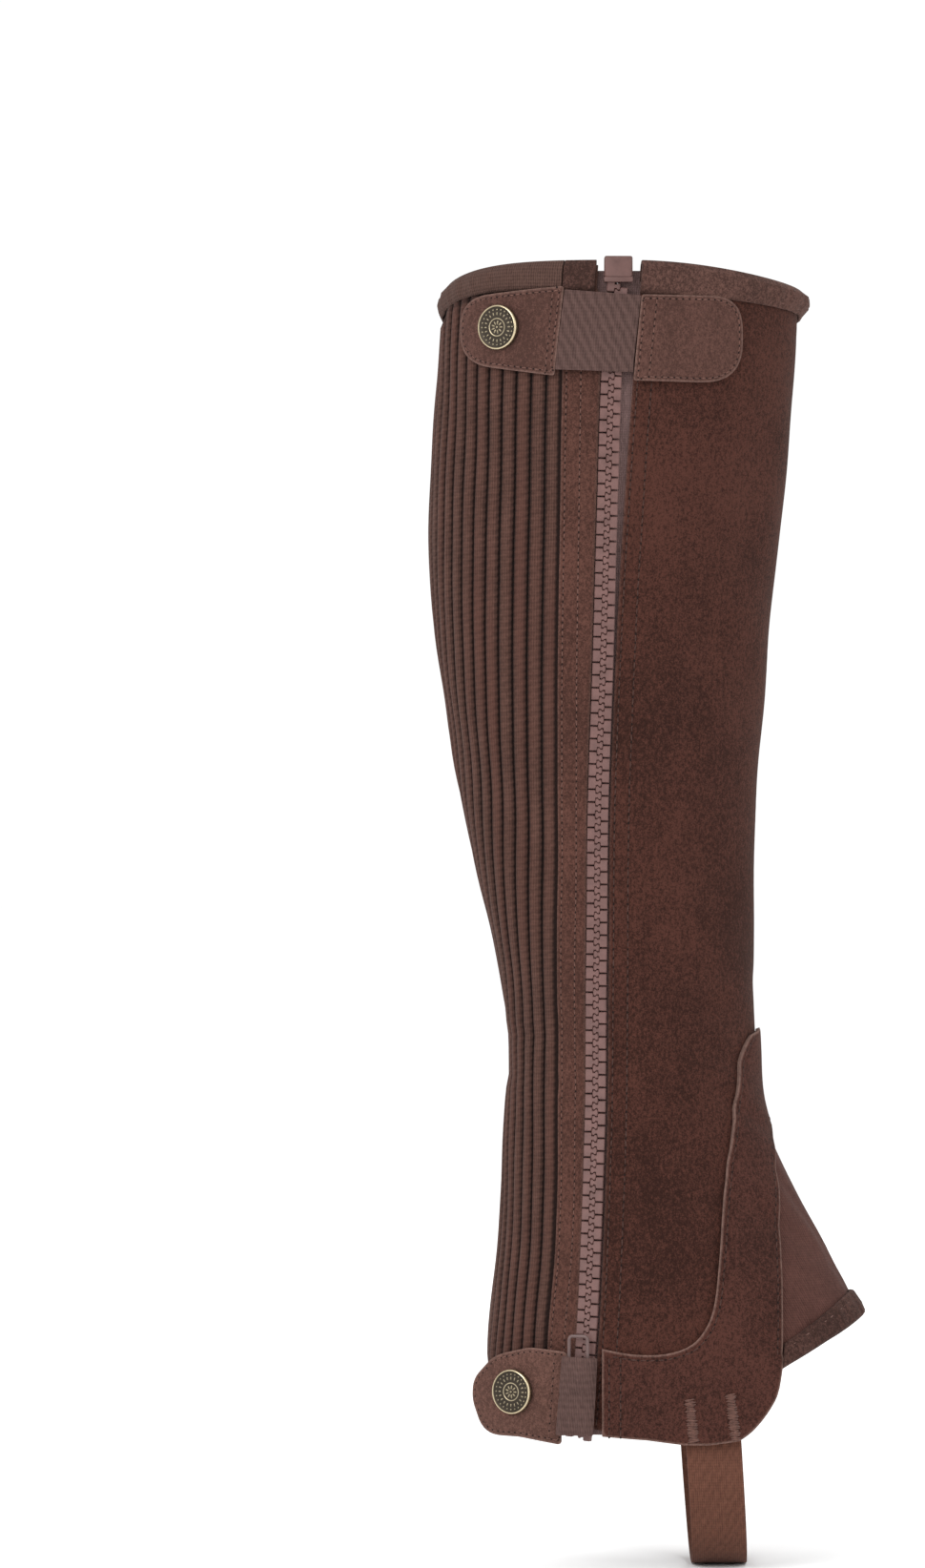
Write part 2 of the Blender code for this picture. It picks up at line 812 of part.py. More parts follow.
def make_hem_binding(materials, parts):
    start = inner_angle(*HEM_BAND_FRONT)
    end = HEM_BAND_END
    angles = sorted([start, *columns_between(start, end), *guard_heel(), end])
    places = [(angle, hem(angle)) for angle in angles]
    return band("hem_binding", places, hem_profile, materials["suede"], parts)


def rim_places(start, end):
    return [(angle, rim(angle)) for angle in [start, *columns_between(start, end), end]]


def make_rim_bindings(materials, parts):
    """The rim's three bindings: suede round the leg, a knit one over the ribs, a short fold."""
    fold_front, panel = (outer_angle(x, RIM_MIDDLE + RIM_RISE) for x in RIM_ZIP_GAP)
    fold_back, knit_back = zip_strip_back(RIM_MIDDLE), strip_back(RIM_MIDDLE)
    profile = rim_profile(-PANEL_EDGE + SEAM_GAP, -STRETCH)
    suede = rim_places(panel, knit_back + 360 - BAND_GAP)
    knit = rim_places(knit_back + BAND_GAP, fold_back - BAND_GAP)
    fold = rim_places(fold_back + BAND_GAP, fold_front)
    band("rim_binding", suede, profile, materials["suede"], parts)
    band("rim_knit", knit, profile, materials["elastic"], parts)
    band("rim_fold", fold, profile, materials["suede"], parts)


def rib_width(z):
    """Width of the rib panel between its two seams."""
    return girth(strip_back(z), zip_strip_back(z), z)


def rib_angle(distance, z):
    """The angle at a distance from the rib panel's seam by the zip."""
    return around(zip_strip_back(z), z, -distance)


def rib_top(distance):
    z = RIM_MIDDLE
    for _ in range(3):
        z = panel_top(rib_angle(distance, z))
    return z


def rib_low(distance):
    z = HEM_Z
    for _ in range(3):
        z = hem(rib_angle(distance, z))
    return z


def rib_lines(start, end):
    """Distances of the grooves and the ribs' shoulders between two distances."""
    parts = (0.0, *RIB_SHOULDERS)
    lines = [(k + part) * RIB_PITCH for k in range(ceil(end / RIB_PITCH)) for part in parts]
    return [s for s in lines if start < s < end]


def rib_outline(gap):
    """The rib panel's outline, as distance from its seam by the zip and height."""
    margin = gap + 0.5
    top_width, low_width = rib_width(RIM_MIDDLE) - gap, rib_width(HEM_Z) - gap
    outline = [(gap, z) for z in rows_between(rib_low(gap), rib_top(gap))]
    outline.append((gap, rib_top(gap)))
    outline += [(s, rib_top(s)) for s in rib_lines(margin, top_width - 0.5)]
    outline.append((top_width, rib_top(top_width)))
    sides = rows_between(rib_low(low_width), rib_top(top_width))
    outline += [(rib_width(z) - gap, z) for z in reversed(sides)]
    outline.append((low_width, rib_low(low_width)))
    outline += [(s, rib_low(s)) for s in reversed(rib_lines(margin, low_width - 0.5))]
    outline.append((gap, rib_low(gap)))
    outline.reverse()
    return outline


def rib_points(gap):
    """Points of the ribs' face: distance from the seam, height, and how far out."""
    top_width, low_width = rib_width(RIM_MIDDLE) - gap, rib_width(HEM_Z) - gap
    points = []
    for s in rib_lines(gap + 0.5, max(top_width, rib_width(0.0))):
        part = (s / RIB_PITCH) % 1.0
        crest = RIB_SHOULDERS[0] - 0.02 < part < RIB_SHOULDERS[1] + 0.02
        top = (rib_top(s) if s < top_width else RIB_SHORT_TOP) + PANEL_EDGE - RIM_BAND - 0.4
        low = (rib_low(s) if s < low_width else RIB_SHORT_LOW) + HEM_BAND
        full = rows_between(low + RIB_RUNOUT, top - RIB_RUNOUT)
        heights = [low, low + RIB_RUNOUT, *full, top - RIB_RUNOUT, top]
        for z in heights:
            if s < rib_width(z) - gap - 0.9:
                raised = crest and low < z < top
                points.append((s, z, RIB_VALLEY + RIB_HEIGHT * raised))
    return points


def make_rib_panel(materials, parts):
    """Ribs raised on the outer face over a plain inside; they run parallel to the zip."""
    gap = SEAM_GAP / 2
    outline = rib_outline(gap)
    flat = [(s * RIB_LAYOUT, z) for s, z in outline]

    def key(s, z):
        return round(s, 2), round(z, 2)

    def stand(mesh, u, z, out):
        s = u / RIB_LAYOUT
        return mesh.verts.new(spot(rib_angle(s, z), z, out) * MM)

    raised = rib_points(gap)
    held = {key(s, z): out for s, z, out in raised}
    points = [(s * RIB_LAYOUT, z) for s, z, _ in raised]
    places, faces = triangles(flat, [p for p in points if inside(p, flat, 1.2)])
    mesh = bmesh.new()
    front = [stand(mesh, u, z, held.get(key(u / RIB_LAYOUT, z), RIB_VALLEY)) for u, z in places]
    for face in faces:
        mesh.faces.new([front[i] for i in reversed(face)])

    across = range(RIB_BACK_STEP, ceil(rib_width(0.0)), RIB_BACK_STEP)
    bare = [(s * RIB_LAYOUT, z) for s in across for z in rows_between(RIB_SHORT_LOW, RIM_MIDDLE)]
    bare = [p for p in bare if inside(p, flat, 12.0)]
    back_places, back_faces = triangles(flat, bare)
    back = [stand(mesh, u, z, RIB_VALLEY - RIB_BACKING) for u, z in back_places]
    for face in back_faces:
        mesh.faces.new([back[i] for i in face])

    loop = [key(s, z) for s, z in outline]
    front_at = {key(u / RIB_LAYOUT, z): front[i] for i, (u, z) in enumerate(places)}
    back_at = {key(u / RIB_LAYOUT, z): back[i] for i, (u, z) in enumerate(back_places)}
    for one, two in zip(loop, loop[1:] + loop[:1]):
        mesh.faces.new((front_at[one], front_at[two], back_at[two], back_at[one]))
    bmesh.ops.recalc_face_normals(mesh, faces=mesh.faces)
    data = bpy.data.meshes.new("rib_panel")
    mesh.to_mesh(data)
    mesh.free()
    return add_object("rib_panel", data, materials["ribs"], parts)


def beside_zip(distance):
    """The line at a distance from the chain's middle, as an angle for each height."""
    return lambda z: around(zip_middle(z), z, distance)


def make_zip_tapes(materials, parts):
    """The two halves of the tape, under the panels' edges, with their tops in the rim's gap."""
    out = -STRETCH - SEAM_GAP
    steps = [outer_angle(x, TAPE_TOP) for x in TAPE_TONGUE]
    far_back = seam(beside_zip(-TAPE_WIDTH), TAPE_LOW, TAPE_UNDER_RIM)
    outline = list(reversed(far_back))
    outline += seam(beside_zip(-TAPE_GAP), TAPE_LOW, TAPE_TOP)
    outline += [(steps[0], TAPE_TOP), (steps[0], TAPE_UNDER_RIM)]
    wall("zip_tape_back", outline, out, TAPE, materials["tape"], parts)

    outline = [(steps[1], TAPE_UNDER_RIM), (steps[1], TAPE_TOP)]
    outline += list(reversed(seam(beside_zip(TAPE_GAP), TAPE_LOW, TAPE_TOP)))
    outline += seam(beside_zip(TAPE_WIDTH), TAPE_LOW, TAPE_UNDER_RIM)
    wall("zip_tape_front", outline, out, TAPE, materials["tape"], parts)


def make_chain(name, low, high, materials, parts):
    """A stretch of the closed chain, as a strip between the two cloth edges."""
    outline = list(reversed(seam(beside_zip(-CHAIN_HALF), low, high)))
    outline += seam(beside_zip(CHAIN_HALF), low, high)
    return wall(name, outline, CHAIN_RISE, CHAIN_DEPTH, materials["zip"], parts)


def upright(angle, z, out):
    """Placement on the leg: local X round the leg, local Y into it, local Z up the leg."""
    here = spot(angle, z, out)
    level = (spot(angle + 1, z, out) - spot(angle - 1, z, out)).normalized()
    up = (spot(angle, z + 3, out) - spot(angle, z - 3, out)).normalized()
    into = up.cross(level).normalized()
    up = level.cross(into)
    turn = Matrix((level, into, up)).transposed().to_4x4()
    return Matrix.Translation(here * MM) @ turn


def block(name, size, bevel, material, parts):
    """A box of a size in mm with rounded edges."""
    bpy.ops.mesh.primitive_cube_add(size=1.0)
    item = bpy.context.active_object
    item.name = name
    item.data.transform(Matrix.Diagonal((*(side * MM for side in size), 1.0)))
    item.data.materials.append(material)
    for held in item.users_collection:
        held.objects.unlink(item)
    parts.objects.link(item)
    rounding = item.modifiers.new("Rounding", "BEVEL")
    rounding.width = bevel * MM
    rounding.segments = 2
    rounding.limit_method = "NONE"
    return item


def make_zip_box(materials, parts):
    item = block("zip_box", BOX_SIZE, METAL_ROUNDING, materials["zip"], parts)
    half_depth = BOX_SIZE[1] / 2
    item.matrix_world = upright(zip_middle(BOX_Z), BOX_Z, half_depth - STRETCH)
    return item


def make_slider(materials, parts, joined):
    """Slider plate over the chain, with the bridge that holds the pull."""
    plate = block("zip_slider", SLIDER_SIZE, METAL_ROUNDING, materials["zip"], parts)
    bridge = block("slider_bridge", BRIDGE_SIZE, METAL_ROUNDING, materials["zip"], joined)
    bridge.data.transform(Matrix.Translation(Vector(BRIDGE_AT) * MM))
    bridge.hide_render = True
    bridge.display_type = "WIRE"
    bridge.parent = plate
    join = plate.modifiers.new("Bridge", "BOOLEAN")
    join.operation = "UNION"
    join.object = bridge
    lift = CHAIN_RISE + SEAM_GAP + SLIDER_SIZE[1] / 2
    plate.matrix_world = upright(zip_middle(SLIDER_Z), SLIDER_Z, lift)
    return plate


def make_pull(materials, parts):
    """The pull: a closed frame of flat wire that lies on the chain."""
    curve = bpy.data.curves.new("zip_pull", "CURVE")
    curve.dimensions = "3D"
    curve.bevel_depth = PULL_WIRE * MM
    curve.bevel_resolution = 1
    wide, long = PULL_SIZE[0] / 2 - PULL_WIRE, PULL_SIZE[1] / 2 - PULL_WIRE
    signs = ((1, 1), (-1, 1), (-1, -1), (1, -1))
    places = rounded([(wide * x, long * z, PULL_CORNER) for x, z in signs], 3)
    line = curve.splines.new("POLY")
    line.points.add(len(places) - 1)
    for point, (x, z) in zip(line.points, places):
        point.co = (x * MM, 0.0, z * MM, 1.0)
    line.use_cyclic_u = True
    item = bpy.data.objects.new("zip_pull", curve)
    item.data.materials.append(materials["zip"])
    parts.objects.link(item)
    lift = CHAIN_RISE + 2 * SEAM_GAP + SLIDER_SIZE[1] + PULL_WIRE
    item.matrix_world = upright(outer_angle(PULL_X, PULL_Z), PULL_Z, lift)
    return item


def strap_outline(corners, out):
    """A strap piece's rounded side-view outline on the outer side, as angles and heights."""
    outline = split_long(rounded(corners), longest=6.0)
    return [(outer_angle(x, z, out), z) for x, z in outline]


def top_tab_out(angle, z):
    """The sewn tab rises to the elastic at its back edge."""
    low, high = TOP_TAB_RAMP
    rise = min(max((high - leg(angle, z)[0][0]) / (high - low), 0.0), 1.0)
    return OVERLAY_GAP + SUEDE + TOP_TAB_RISE * rise * rise * (3 - 2 * rise)


def make_top_strap(materials, parts):
    over_ribs = RIB_VALLEY + RIB_HEIGHT + OVERLAY_GAP
    suede = materials["suede"]
    out = over_ribs + SUEDE
    wall("top_snap_tab", strap_outline(TOP_SNAP_TAB, out), out, SUEDE, suede, parts, finer=2)
    outline = strap_outline(TOP_TAB, OVERLAY_GAP + SUEDE + TOP_TAB_RISE)
    wall("top_tab", outline, top_tab_out, SUEDE, suede, parts, finer=2)
    out = over_ribs + ELASTIC_RIDE
    outline = strap_outline(TOP_ELASTIC, out)
    wall("top_elastic", outline, out, ELASTIC, materials["elastic"], parts, finer=2)


def make_ankle_strap(materials, parts):
    """The snap tab stands off the heel; the elastic rides over the slider."""
    outline = split_long(rounded(ANKLE_SNAP_TAB), longest=6.0)
    low, high = min(z for _, z in outline), max(z for _, z in outline)
    left, right = min(x for x, _ in outline), max(x for x, _ in outline)
    across = range(ANKLE_GRID, ceil(right - left), ANKLE_GRID)
    up = range(ANKLE_GRID, ceil(high - low), ANKLE_GRID)
    grid = [(left + i, low + k) for i in across for k in up]
    grid = [p for p in grid if inside(p, outline, 1.8)]
    places, faces = triangles(outline, grid)
    points = [Vector((x, smooth(ANKLE_TAB_PLAN, x, 1), z)) for x, z in places]
    item = from_faces("ankle_snap_tab", points, faces, materials["suede"], parts)
    thicken(item, SUEDE)

    def ride(angle, z):
        return smooth(ANKLE_RIDE, leg(angle, z)[0][0], 1)

    sides = split_long(rounded(ANKLE_ELASTIC, 1), longest=3.0)
    outline = [(outer_angle(x, z), z) for x, z in sides]
    wall("ankle_elastic", outline, ride, ELASTIC, materials["elastic"], parts, finer=3)


def snap_cap(name, materials, parts):
    """A turned cap, its face along local Z."""
    mesh = bpy.data.meshes.new(name)
    points = [(radius * MM, 0.0, height * MM) for radius, height in SNAP_PROFILE]
    mesh.from_pydata(points, [(i, i + 1) for i in range(len(points) - 1)], [])
    item = add_object(name, mesh, materials["brass"], parts)
    turn = item.modifiers.new("Turned", "SCREW")
    turn.axis = "Z"
    turn.steps = SNAP_STEPS
    turn.render_steps = SNAP_STEPS
    turn.use_merge_vertices = True
    turn.merge_threshold = 0.00001
    return item


def facing(here, out):
    """Placement whose local Z looks out, with local Y up the leg."""
    up = Vector((0, 0, 1))
    side = up.cross(out).normalized()
    up = out.cross(side).normalized()
    turn = Matrix((side, up, out)).transposed().to_4x4()
    return Matrix.Translation(here * MM) @ turn


def make_snaps(materials, parts):
    x, z = TOP_SNAP
    out = RIB_VALLEY + RIB_HEIGHT + 2 * OVERLAY_GAP + SUEDE
    angle = outer_angle(x, z, out)
    here = spot(angle, z, out)
    normal = (here - spot(angle, z, 0.0)).normalized()
    snap_cap("top_snap", materials, parts).matrix_world = facing(here, normal)

    x, z = ANKLE_SNAP
    ahead = smooth(ANKLE_TAB_PLAN, x + 2, 1) - smooth(ANKLE_TAB_PLAN, x - 2, 1)
    normal = Vector((ahead, -4.0, 0.0)).normalized()
    here = Vector((x, smooth(ANKLE_TAB_PLAN, x, 1), z)) + normal * SEAM_GAP
    snap_cap("ankle_snap", materials, parts).matrix_world = facing(here, normal)


def make_stirrup(materials, parts):
    """Webbing loop under the foot, its ends inside the two walls."""
    inset = -STRETCH - SEAM_GAP
    across = 3

    def side_x(k, drop):
        x = STRAP_X[0] + (STRAP_X[1] - STRAP_X[0]) * k / across
        return x + STRAP_SKEW * drop

    def leg_at(k, z, angle_of):
        angle = angle_of(side_x(k, 0.0), z, inset)
        return spot(angle, z, inset)

    rows = [[leg_at(k, z, outer_angle) for k in range(across + 1)] for z in STRAP_ROWS]
    start_z = STRAP_ROWS[-1]
    for i in range(1, STRAP_TURNS):
        sweep = pi * i / STRAP_TURNS
        down = sin(sweep) ** (2 / STRAP_FULLNESS)
        sign = 1 if cos(sweep) > 0 else -1
        wide = sign * abs(cos(sweep)) ** (2 / STRAP_FULLNESS)
        row = []
        for k in range(across + 1):
            outer = leg_at(k, start_z, outer_angle).y
            inner = leg_at(k, start_z, inner_angle).y
            y = (outer + inner) / 2 + (outer - inner) / 2 * wide
            row.append(Vector((side_x(k, down), y, start_z - STRAP_DROP * down)))
        rows.append(row)
    rows += [[leg_at(k, z, inner_angle) for k in range(across + 1)] for z in reversed(STRAP_ROWS)]
    points = [point for row in rows for point in row]
    count = across + 1
    faces = []
    for r in range(len(rows) - 1):
        for k in range(across):
            a = r * count + k
            faces.append((a, a + count, a + count + 1, a + 1))
    item = from_faces("stirrup_strap", points, faces, materials["webbing"], parts)
    thicken(item, STRAP_THICK)
    return item


def make_materials():
    made = {}
    for name, colour in COLOURS.items():
        material = bpy.data.materials.new(name)
        material.use_nodes = True
        shader = material.node_tree.nodes["Principled BSDF"]
        shader.inputs["Base Color"].default_value = (*colour, 1.0)
        shader.inputs["Roughness"].default_value = 0.4 if name in METALS else 0.9
        shader.inputs["Metallic"].default_value = 1.0 if name in METALS else 0.0
        made[name] = material
    return made


def main():
    for item in list(bpy.data.objects):
        bpy.data.objects.remove(item, do_unlink=True)
    parts = bpy.data.collections.new("Half chap")
    joined = bpy.data.collections.new("Joined shapes")
    for group in (parts, joined):
        bpy.context.scene.collection.children.link(group)
    materials = make_materials()
    make_outer_panel(materials, parts)
    make_inner_panel(materials, parts)
    make_patch(materials, parts)
    make_inner_strip(materials, parts)
    make_rib_panel(materials, parts)
    make_zip_strip(materials, parts)
    make_zip_tapes(materials, parts)
    half_slider = SLIDER_SIZE[2] / 2
    make_chain("zip_chain", SLIDER_Z + half_slider + SEAM_GAP, CHAIN_TOP, materials, parts)
    make_chain("zip_end", CHAIN_LOW, SLIDER_Z - half_slider - SEAM_GAP, materials, parts)
    make_zip_box(materials, parts)
    make_slider(materials, parts, joined)
    make_pull(materials, parts)
    make_rim_bindings(materials, parts)
    make_top_strap(materials, parts)
    make_ankle_strap(materials, parts)
    make_snaps(materials, parts)
    make_foot_guard(materials, parts)
    make_gusset(materials, parts)
    make_gusset_binding(materials, parts)
    make_hem_binding(materials, parts)
    make_stirrup(materials, parts)


main()
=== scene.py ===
# %% [markdown]
# # A half chap in suede, rib knit and stretch fabric
# A half chap covers a rider's lower leg. A few cut pieces of cloth are sewn side by side, a zip
# closes them at the back of the outer side, and a strap under the foot keeps the leg down.
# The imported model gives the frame: every piece here stands where its plain solid stands.

# %% Load the frame
from math import cos, exp, hypot, pi, radians, sin

import bmesh
import bpy
import numpy as np
from mathutils import Matrix, Vector
from mathutils.geometry import delaunay_2d_cdt


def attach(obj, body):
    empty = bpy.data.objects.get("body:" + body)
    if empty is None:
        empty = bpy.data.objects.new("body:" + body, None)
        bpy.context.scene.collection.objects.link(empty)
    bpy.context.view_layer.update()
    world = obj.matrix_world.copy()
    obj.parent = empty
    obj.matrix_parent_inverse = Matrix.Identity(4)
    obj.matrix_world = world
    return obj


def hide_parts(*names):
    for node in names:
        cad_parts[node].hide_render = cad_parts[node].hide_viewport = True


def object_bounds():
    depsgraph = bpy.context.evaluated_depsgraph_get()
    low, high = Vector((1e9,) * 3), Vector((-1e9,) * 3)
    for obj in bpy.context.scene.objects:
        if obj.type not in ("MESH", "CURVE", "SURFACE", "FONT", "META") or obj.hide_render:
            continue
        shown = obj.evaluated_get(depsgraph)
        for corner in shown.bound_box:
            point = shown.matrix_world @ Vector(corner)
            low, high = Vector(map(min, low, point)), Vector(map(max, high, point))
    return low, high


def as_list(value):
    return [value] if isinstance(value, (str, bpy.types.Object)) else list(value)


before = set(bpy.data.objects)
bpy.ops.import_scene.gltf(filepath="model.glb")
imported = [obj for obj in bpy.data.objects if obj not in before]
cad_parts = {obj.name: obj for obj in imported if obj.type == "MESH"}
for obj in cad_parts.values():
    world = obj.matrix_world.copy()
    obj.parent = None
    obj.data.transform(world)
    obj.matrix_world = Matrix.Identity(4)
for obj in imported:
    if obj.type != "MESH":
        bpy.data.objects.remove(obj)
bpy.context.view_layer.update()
MM = 0.001
print("nodes to dress:", len(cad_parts))

# %% [markdown]
# ## The leg that all the cloth lies on
# A real chap is cut flat and takes its form from the calf inside. Here the calf is a rule: at
# each height an egg-shaped section, from a table of measured sizes. A place on the cloth is then
# an angle round the leg, a height and a distance out. All lengths are in millimetres.

# %% Sections and seam lines
# (height, back x, front x, half depth, egg factor)
SECTIONS = (
    (-330, -41.4, 118.0, 41.0, 0.24), (-300, -40.8, 104.0, 40.5, 0.24),
    (-270, -39.6, 88.3, 39.5, 0.24), (-254, -38.5, 79.6, 38.5, 0.22),
    (-238, -37.0, 71.1, 37.5, 0.20), (-222, -36.1, 62.6, 36.2, 0.17),
    (-206, -35.5, 55.4, 34.8, 0.14), (-190, -34.5, 50.8, 33.8, 0.12),
    (-174, -33.5, 49.5, 33.4, 0.11), (-150, -36.1, 48.5, 33.8, 0.10),
    (-120, -42.6, 48.1, 35.2, 0.10), (-90, -48.8, 49.5, 37.2, 0.10),
    (-60, -54.9, 51.7, 39.4, 0.10), (-30, -58.7, 54.3, 41.4, 0.10),
    (0, -60.1, 57.4, 42.6, 0.10), (30, -58.9, 60.0, 42.8, 0.09),
    (60, -57.1, 62.4, 42.6, 0.08), (90, -54.5, 64.6, 42.0, 0.08),
    (110, -53.0, 66.0, 41.8, 0.08),
)
# the rim's height halfway, and how far it rises on the outer side and falls on the inner side
RIM_MIDDLE = 81.0
RIM_RISE = 8.8
RIM_FALL = 8.0
# how full the rim's curve is on the inner side, and on the outer side's back and front
RIM_FULLNESS = (0.3, 0.5, -0.45)
RIM_BAND = 8.0
# the rim's binding reaches this much further down, at this angle and over this spread
RIM_DEEPER, RIM_DEEPER_AT, RIM_DEEPER_OVER = 3.1, 95, 45
HEM_Z = -298.0
# (x, height on the outer side, height on the inner side)
HEM = (
    (-44, -289.0, -288.0), (-20, -296.5, -293.5), (0, -300.6, -298.5), (20, -303.4, -303.5),
    (40, -303.4, -305.5), (47, -299.6, -302.5), (52, -295.0, -297.0),
)
# (height, back of the strip, middle of the chain, edge of the outer panel), all x
ZIP_LINES = (
    (-310, -24.0, -12.0, -8.0), (-300, -23.6, -11.2, -7.2), (-281, -22.2, -9.6, -5.7),
    (-265, -21.4, -8.5, -4.6), (-236, -19.1, -7.1, -3.2), (-195, -18.2, -5.7, -1.8),
    (-141, -18.4, -5.2, -1.3), (-93, -18.4, -4.8, -0.9), (-45, -18.3, -3.3, 0.8),
    (8, -17.6, -1.8, 3.7), (49, -17.0, -0.5, 6.6), (70, -16.7, 0.8, 7.9),
    (82, -16.5, 1.6, 9.3), (100, -16.3, 2.4, 10.0),
)
# (height, front and back edge of the inner strip, in degrees from the back)
STRIP_LINES = (
    (-310, 46.0, 28.0), (-270, 48.5, 29.5), (-245, 51.0, 31.0), (-215, 51.5, 27.0),
    (-185, 49.5, 18.5), (-150, 49.0, 17.0), (-110, 48.5, 20.5), (-65, 48.0, 25.0),
    (-30, 45.0, 24.0), (0, 39.5, 19.5), (30, 37.0, 17.0), (95, 36.0, 16.0),
)
# (height, the guard's notch and the gusset's seam, in degrees from the shin)
FOOT_FRONT = (
    (-310, 72.0, 80.0), (-287, 66.5, 75.0), (-272, 60.5, 69.5), (-254, 52.5, 61.5),
    (-236, 42.5, 52.0), (-218.5, 29.0, 39.5), (-206.5, 16.0, 27.0), (-198.4, 0.0, 12.0),
    (-190, 0.0, 0.0),
)
GUARD_NOTCH = -198.4
GUSSET_TIP = -190.0
# the toe's lower edge: its x and height in front, and how steeply it falls towards the heel
TOE_X, TOE_Z, TOE_SLOPE = 84.0, -262.0, 0.58

# thickness of each cloth, and the gaps between layers
SUEDE = 1.4
STRETCH = 1.6
SEAM_GAP = 0.3
SEWN_GAP = -0.12
OVERLAY_GAP = 0.45
OVER = OVERLAY_GAP + SUEDE
PANEL_EDGE = 1.6
FLAT = 0.8


# %% A smooth value from a table
def smooth(rows, at, column):
    """A column's value on a smooth curve through a table's rows, for one place or many."""
    table = np.array(rows, float)
    x, y = table[:, 0], table[:, column]
    last = len(x) - 1
    lower = np.clip(np.arange(last + 1) - 1, 0, last)
    upper = np.clip(np.arange(last + 1) + 1, 0, last)
    slope = (y[upper] - y[lower]) / (x[upper] - x[lower])
    at = np.asarray(at, float)
    i = np.clip(np.searchsorted(x, at) - 1, 0, last - 1)
    step = x[i + 1] - x[i]
    t = np.clip((at - x[i]) / step, 0, 1)
    change = y[i + 1] - y[i]
    bend = (1 - t) * (slope[i] * step - change) - t * (slope[i + 1] * step - change)
    return y[i] + change * t + t * (1 - t) * bend


def ease(value):
    """Smooth step from 0 to 1."""
    t = np.clip(value, 0, 1)
    return t * t * (3 - 2 * t)


def section(z):
    back, front, half, egg = (smooth(SECTIONS, z, column) for column in (1, 2, 3, 4))
    return (front + back) / 2, (front - back) / 2, half, egg


def leg(angle, z):
    """Place (x, y) on the plain leg, and its change with the angle in radians."""
    middle, reach, half, egg = section(z)
    turn = np.radians(angle)
    c, s = np.cos(turn), np.sin(turn)
    x = middle - reach * c
    y = -half * s * (1 + egg * c)
    return x, y, reach * s, -half * (c + egg * (c * c - s * s))


# %% [markdown]
# ## Creases, placed one by one
# Worn suede is never smooth. Soft troughs run round the ankle, where the leg bends, and pull
# lines start at the strap and the toe. Each crease is one row of a table: its place, tilt,
# length, width and depth. They are part of the leg, so all the layers bend together and keep
# their distance.

# %% Creases and the unevenness of the whole leg
# (angle, height, tilt in degrees, half length, half width, depth)
CREASES = (
    (118, -158, 12, 26, 5.5, 0.95), (136, -176, -14, 24, 4.8, 0.85),
    (112, -190, 8, 20, 4.2, 0.60), (148, -196, -26, 22, 4.4, 0.80),
    (128, -212, -10, 24, 5.6, 0.70), (158, -152, -6, 17, 4.6, 0.60),
    (124, -128, 16, 22, 6.5, 0.45), (146, -236, -34, 26, 6.0, 0.60),
    (128, -256, 62, 20, 6.5, 0.45), (118, -284, 78, 13, 4.5, 0.40),
    (141, -281, 100, 12, 4.0, 0.35), (164, -228, -62, 20, 4.4, 0.55),
    (172, -250, -72, 17, 4.0, 0.45), (120, -60, 74, 34, 9.0, 0.45),
    (146, 20, 84, 40, 10.0, 0.40), (112, 46, 68, 22, 7.0, 0.35),
    (242, -154, -12, 27, 5.4, 0.90), (224, -172, 14, 23, 4.7, 0.85),
    (252, -186, -8, 20, 4.4, 0.65), (214, -194, 26, 22, 4.5, 0.75),
    (236, -214, 10, 25, 5.2, 0.75), (205, -150, 6, 16, 4.6, 0.60),
    (266, -206, -24, 18, 4.6, 0.60), (222, -238, 34, 24, 6.0, 0.60),
    (244, -258, -60, 20, 6.5, 0.45), (262, -246, -46, 16, 5.0, 0.50),
    (196, -230, 60, 20, 4.2, 0.55), (188, -252, 70, 16, 4.0, 0.45),
    (244, -70, -76, 34, 9.0, 0.45), (216, 30, -82, 40, 10.0, 0.40),
    (286, -100, -70, 30, 8.0, 0.40), (318, -168, 4, 13, 4.2, 0.45),
    (322, -184, -6, 12, 3.8, 0.40), (62, -164, 4, 10, 4.4, 0.35),
    (58, -186, -8, 10, 4.0, 0.35), (24, -170, 0, 22, 5.0, 0.50),
    (8, -182, 6, 20, 4.6, 0.45), (344, -158, -8, 20, 5.0, 0.45),
)
# (turns round the leg, waves up the leg in mm, phase, size)
UNEVEN = ((2, 143.0, 0.4, 0.30), (3, 87.0, 2.1, 0.24), (5, 61.0, 4.4, 0.16), (7, 39.0, 1.3, 0.10))
MM_PER_DEGREE = 0.8
# (height, length) over which creases fade out, below the rim and above the hem
SWAY_TOP = (86, 26)
SWAY_LOW = (-307, 16)


def sway(angle, z):
    """How far creases and unevenness move the cloth out, at this place."""
    angle, z = np.broadcast_arrays(np.asarray(angle, float) % 360, np.asarray(z, float))
    out = np.zeros(angle.shape)
    for turns, wave, phase, size in UNEVEN:
        out += size * np.sin(np.radians(angle) * turns + z / wave * 2 * pi + phase)
    for at, height, tilt, length, width, depth in CREASES:
        round_leg = ((angle - at + 180) % 360 - 180) * MM_PER_DEGREE
        up = z - height
        c, s = cos(radians(tilt)), sin(radians(tilt))
        along = (round_leg * c + up * s) / length
        across = (up * c - round_leg * s) / width
        bend = across - 0.35 * along * along
        fade = np.exp(-np.abs(along) ** 3 * 1.2)
        out -= depth * fade * np.exp(-bend * bend) * (1 - 0.75 * bend * bend)
    (top, top_fade), (low, low_fade) = SWAY_TOP, SWAY_LOW
    return out * ease((top - z) / top_fade) * ease((z - low) / low_fade)


def off_leg(angle, z, away):
    """Place at a level distance from the plain leg: an array with a row for each point."""
    x, y, dx, dy = leg(angle, z)
    size = np.hypot(dx, dy)
    return np.stack((x + dy / size * away, y - dx / size * away, z), axis=-1)


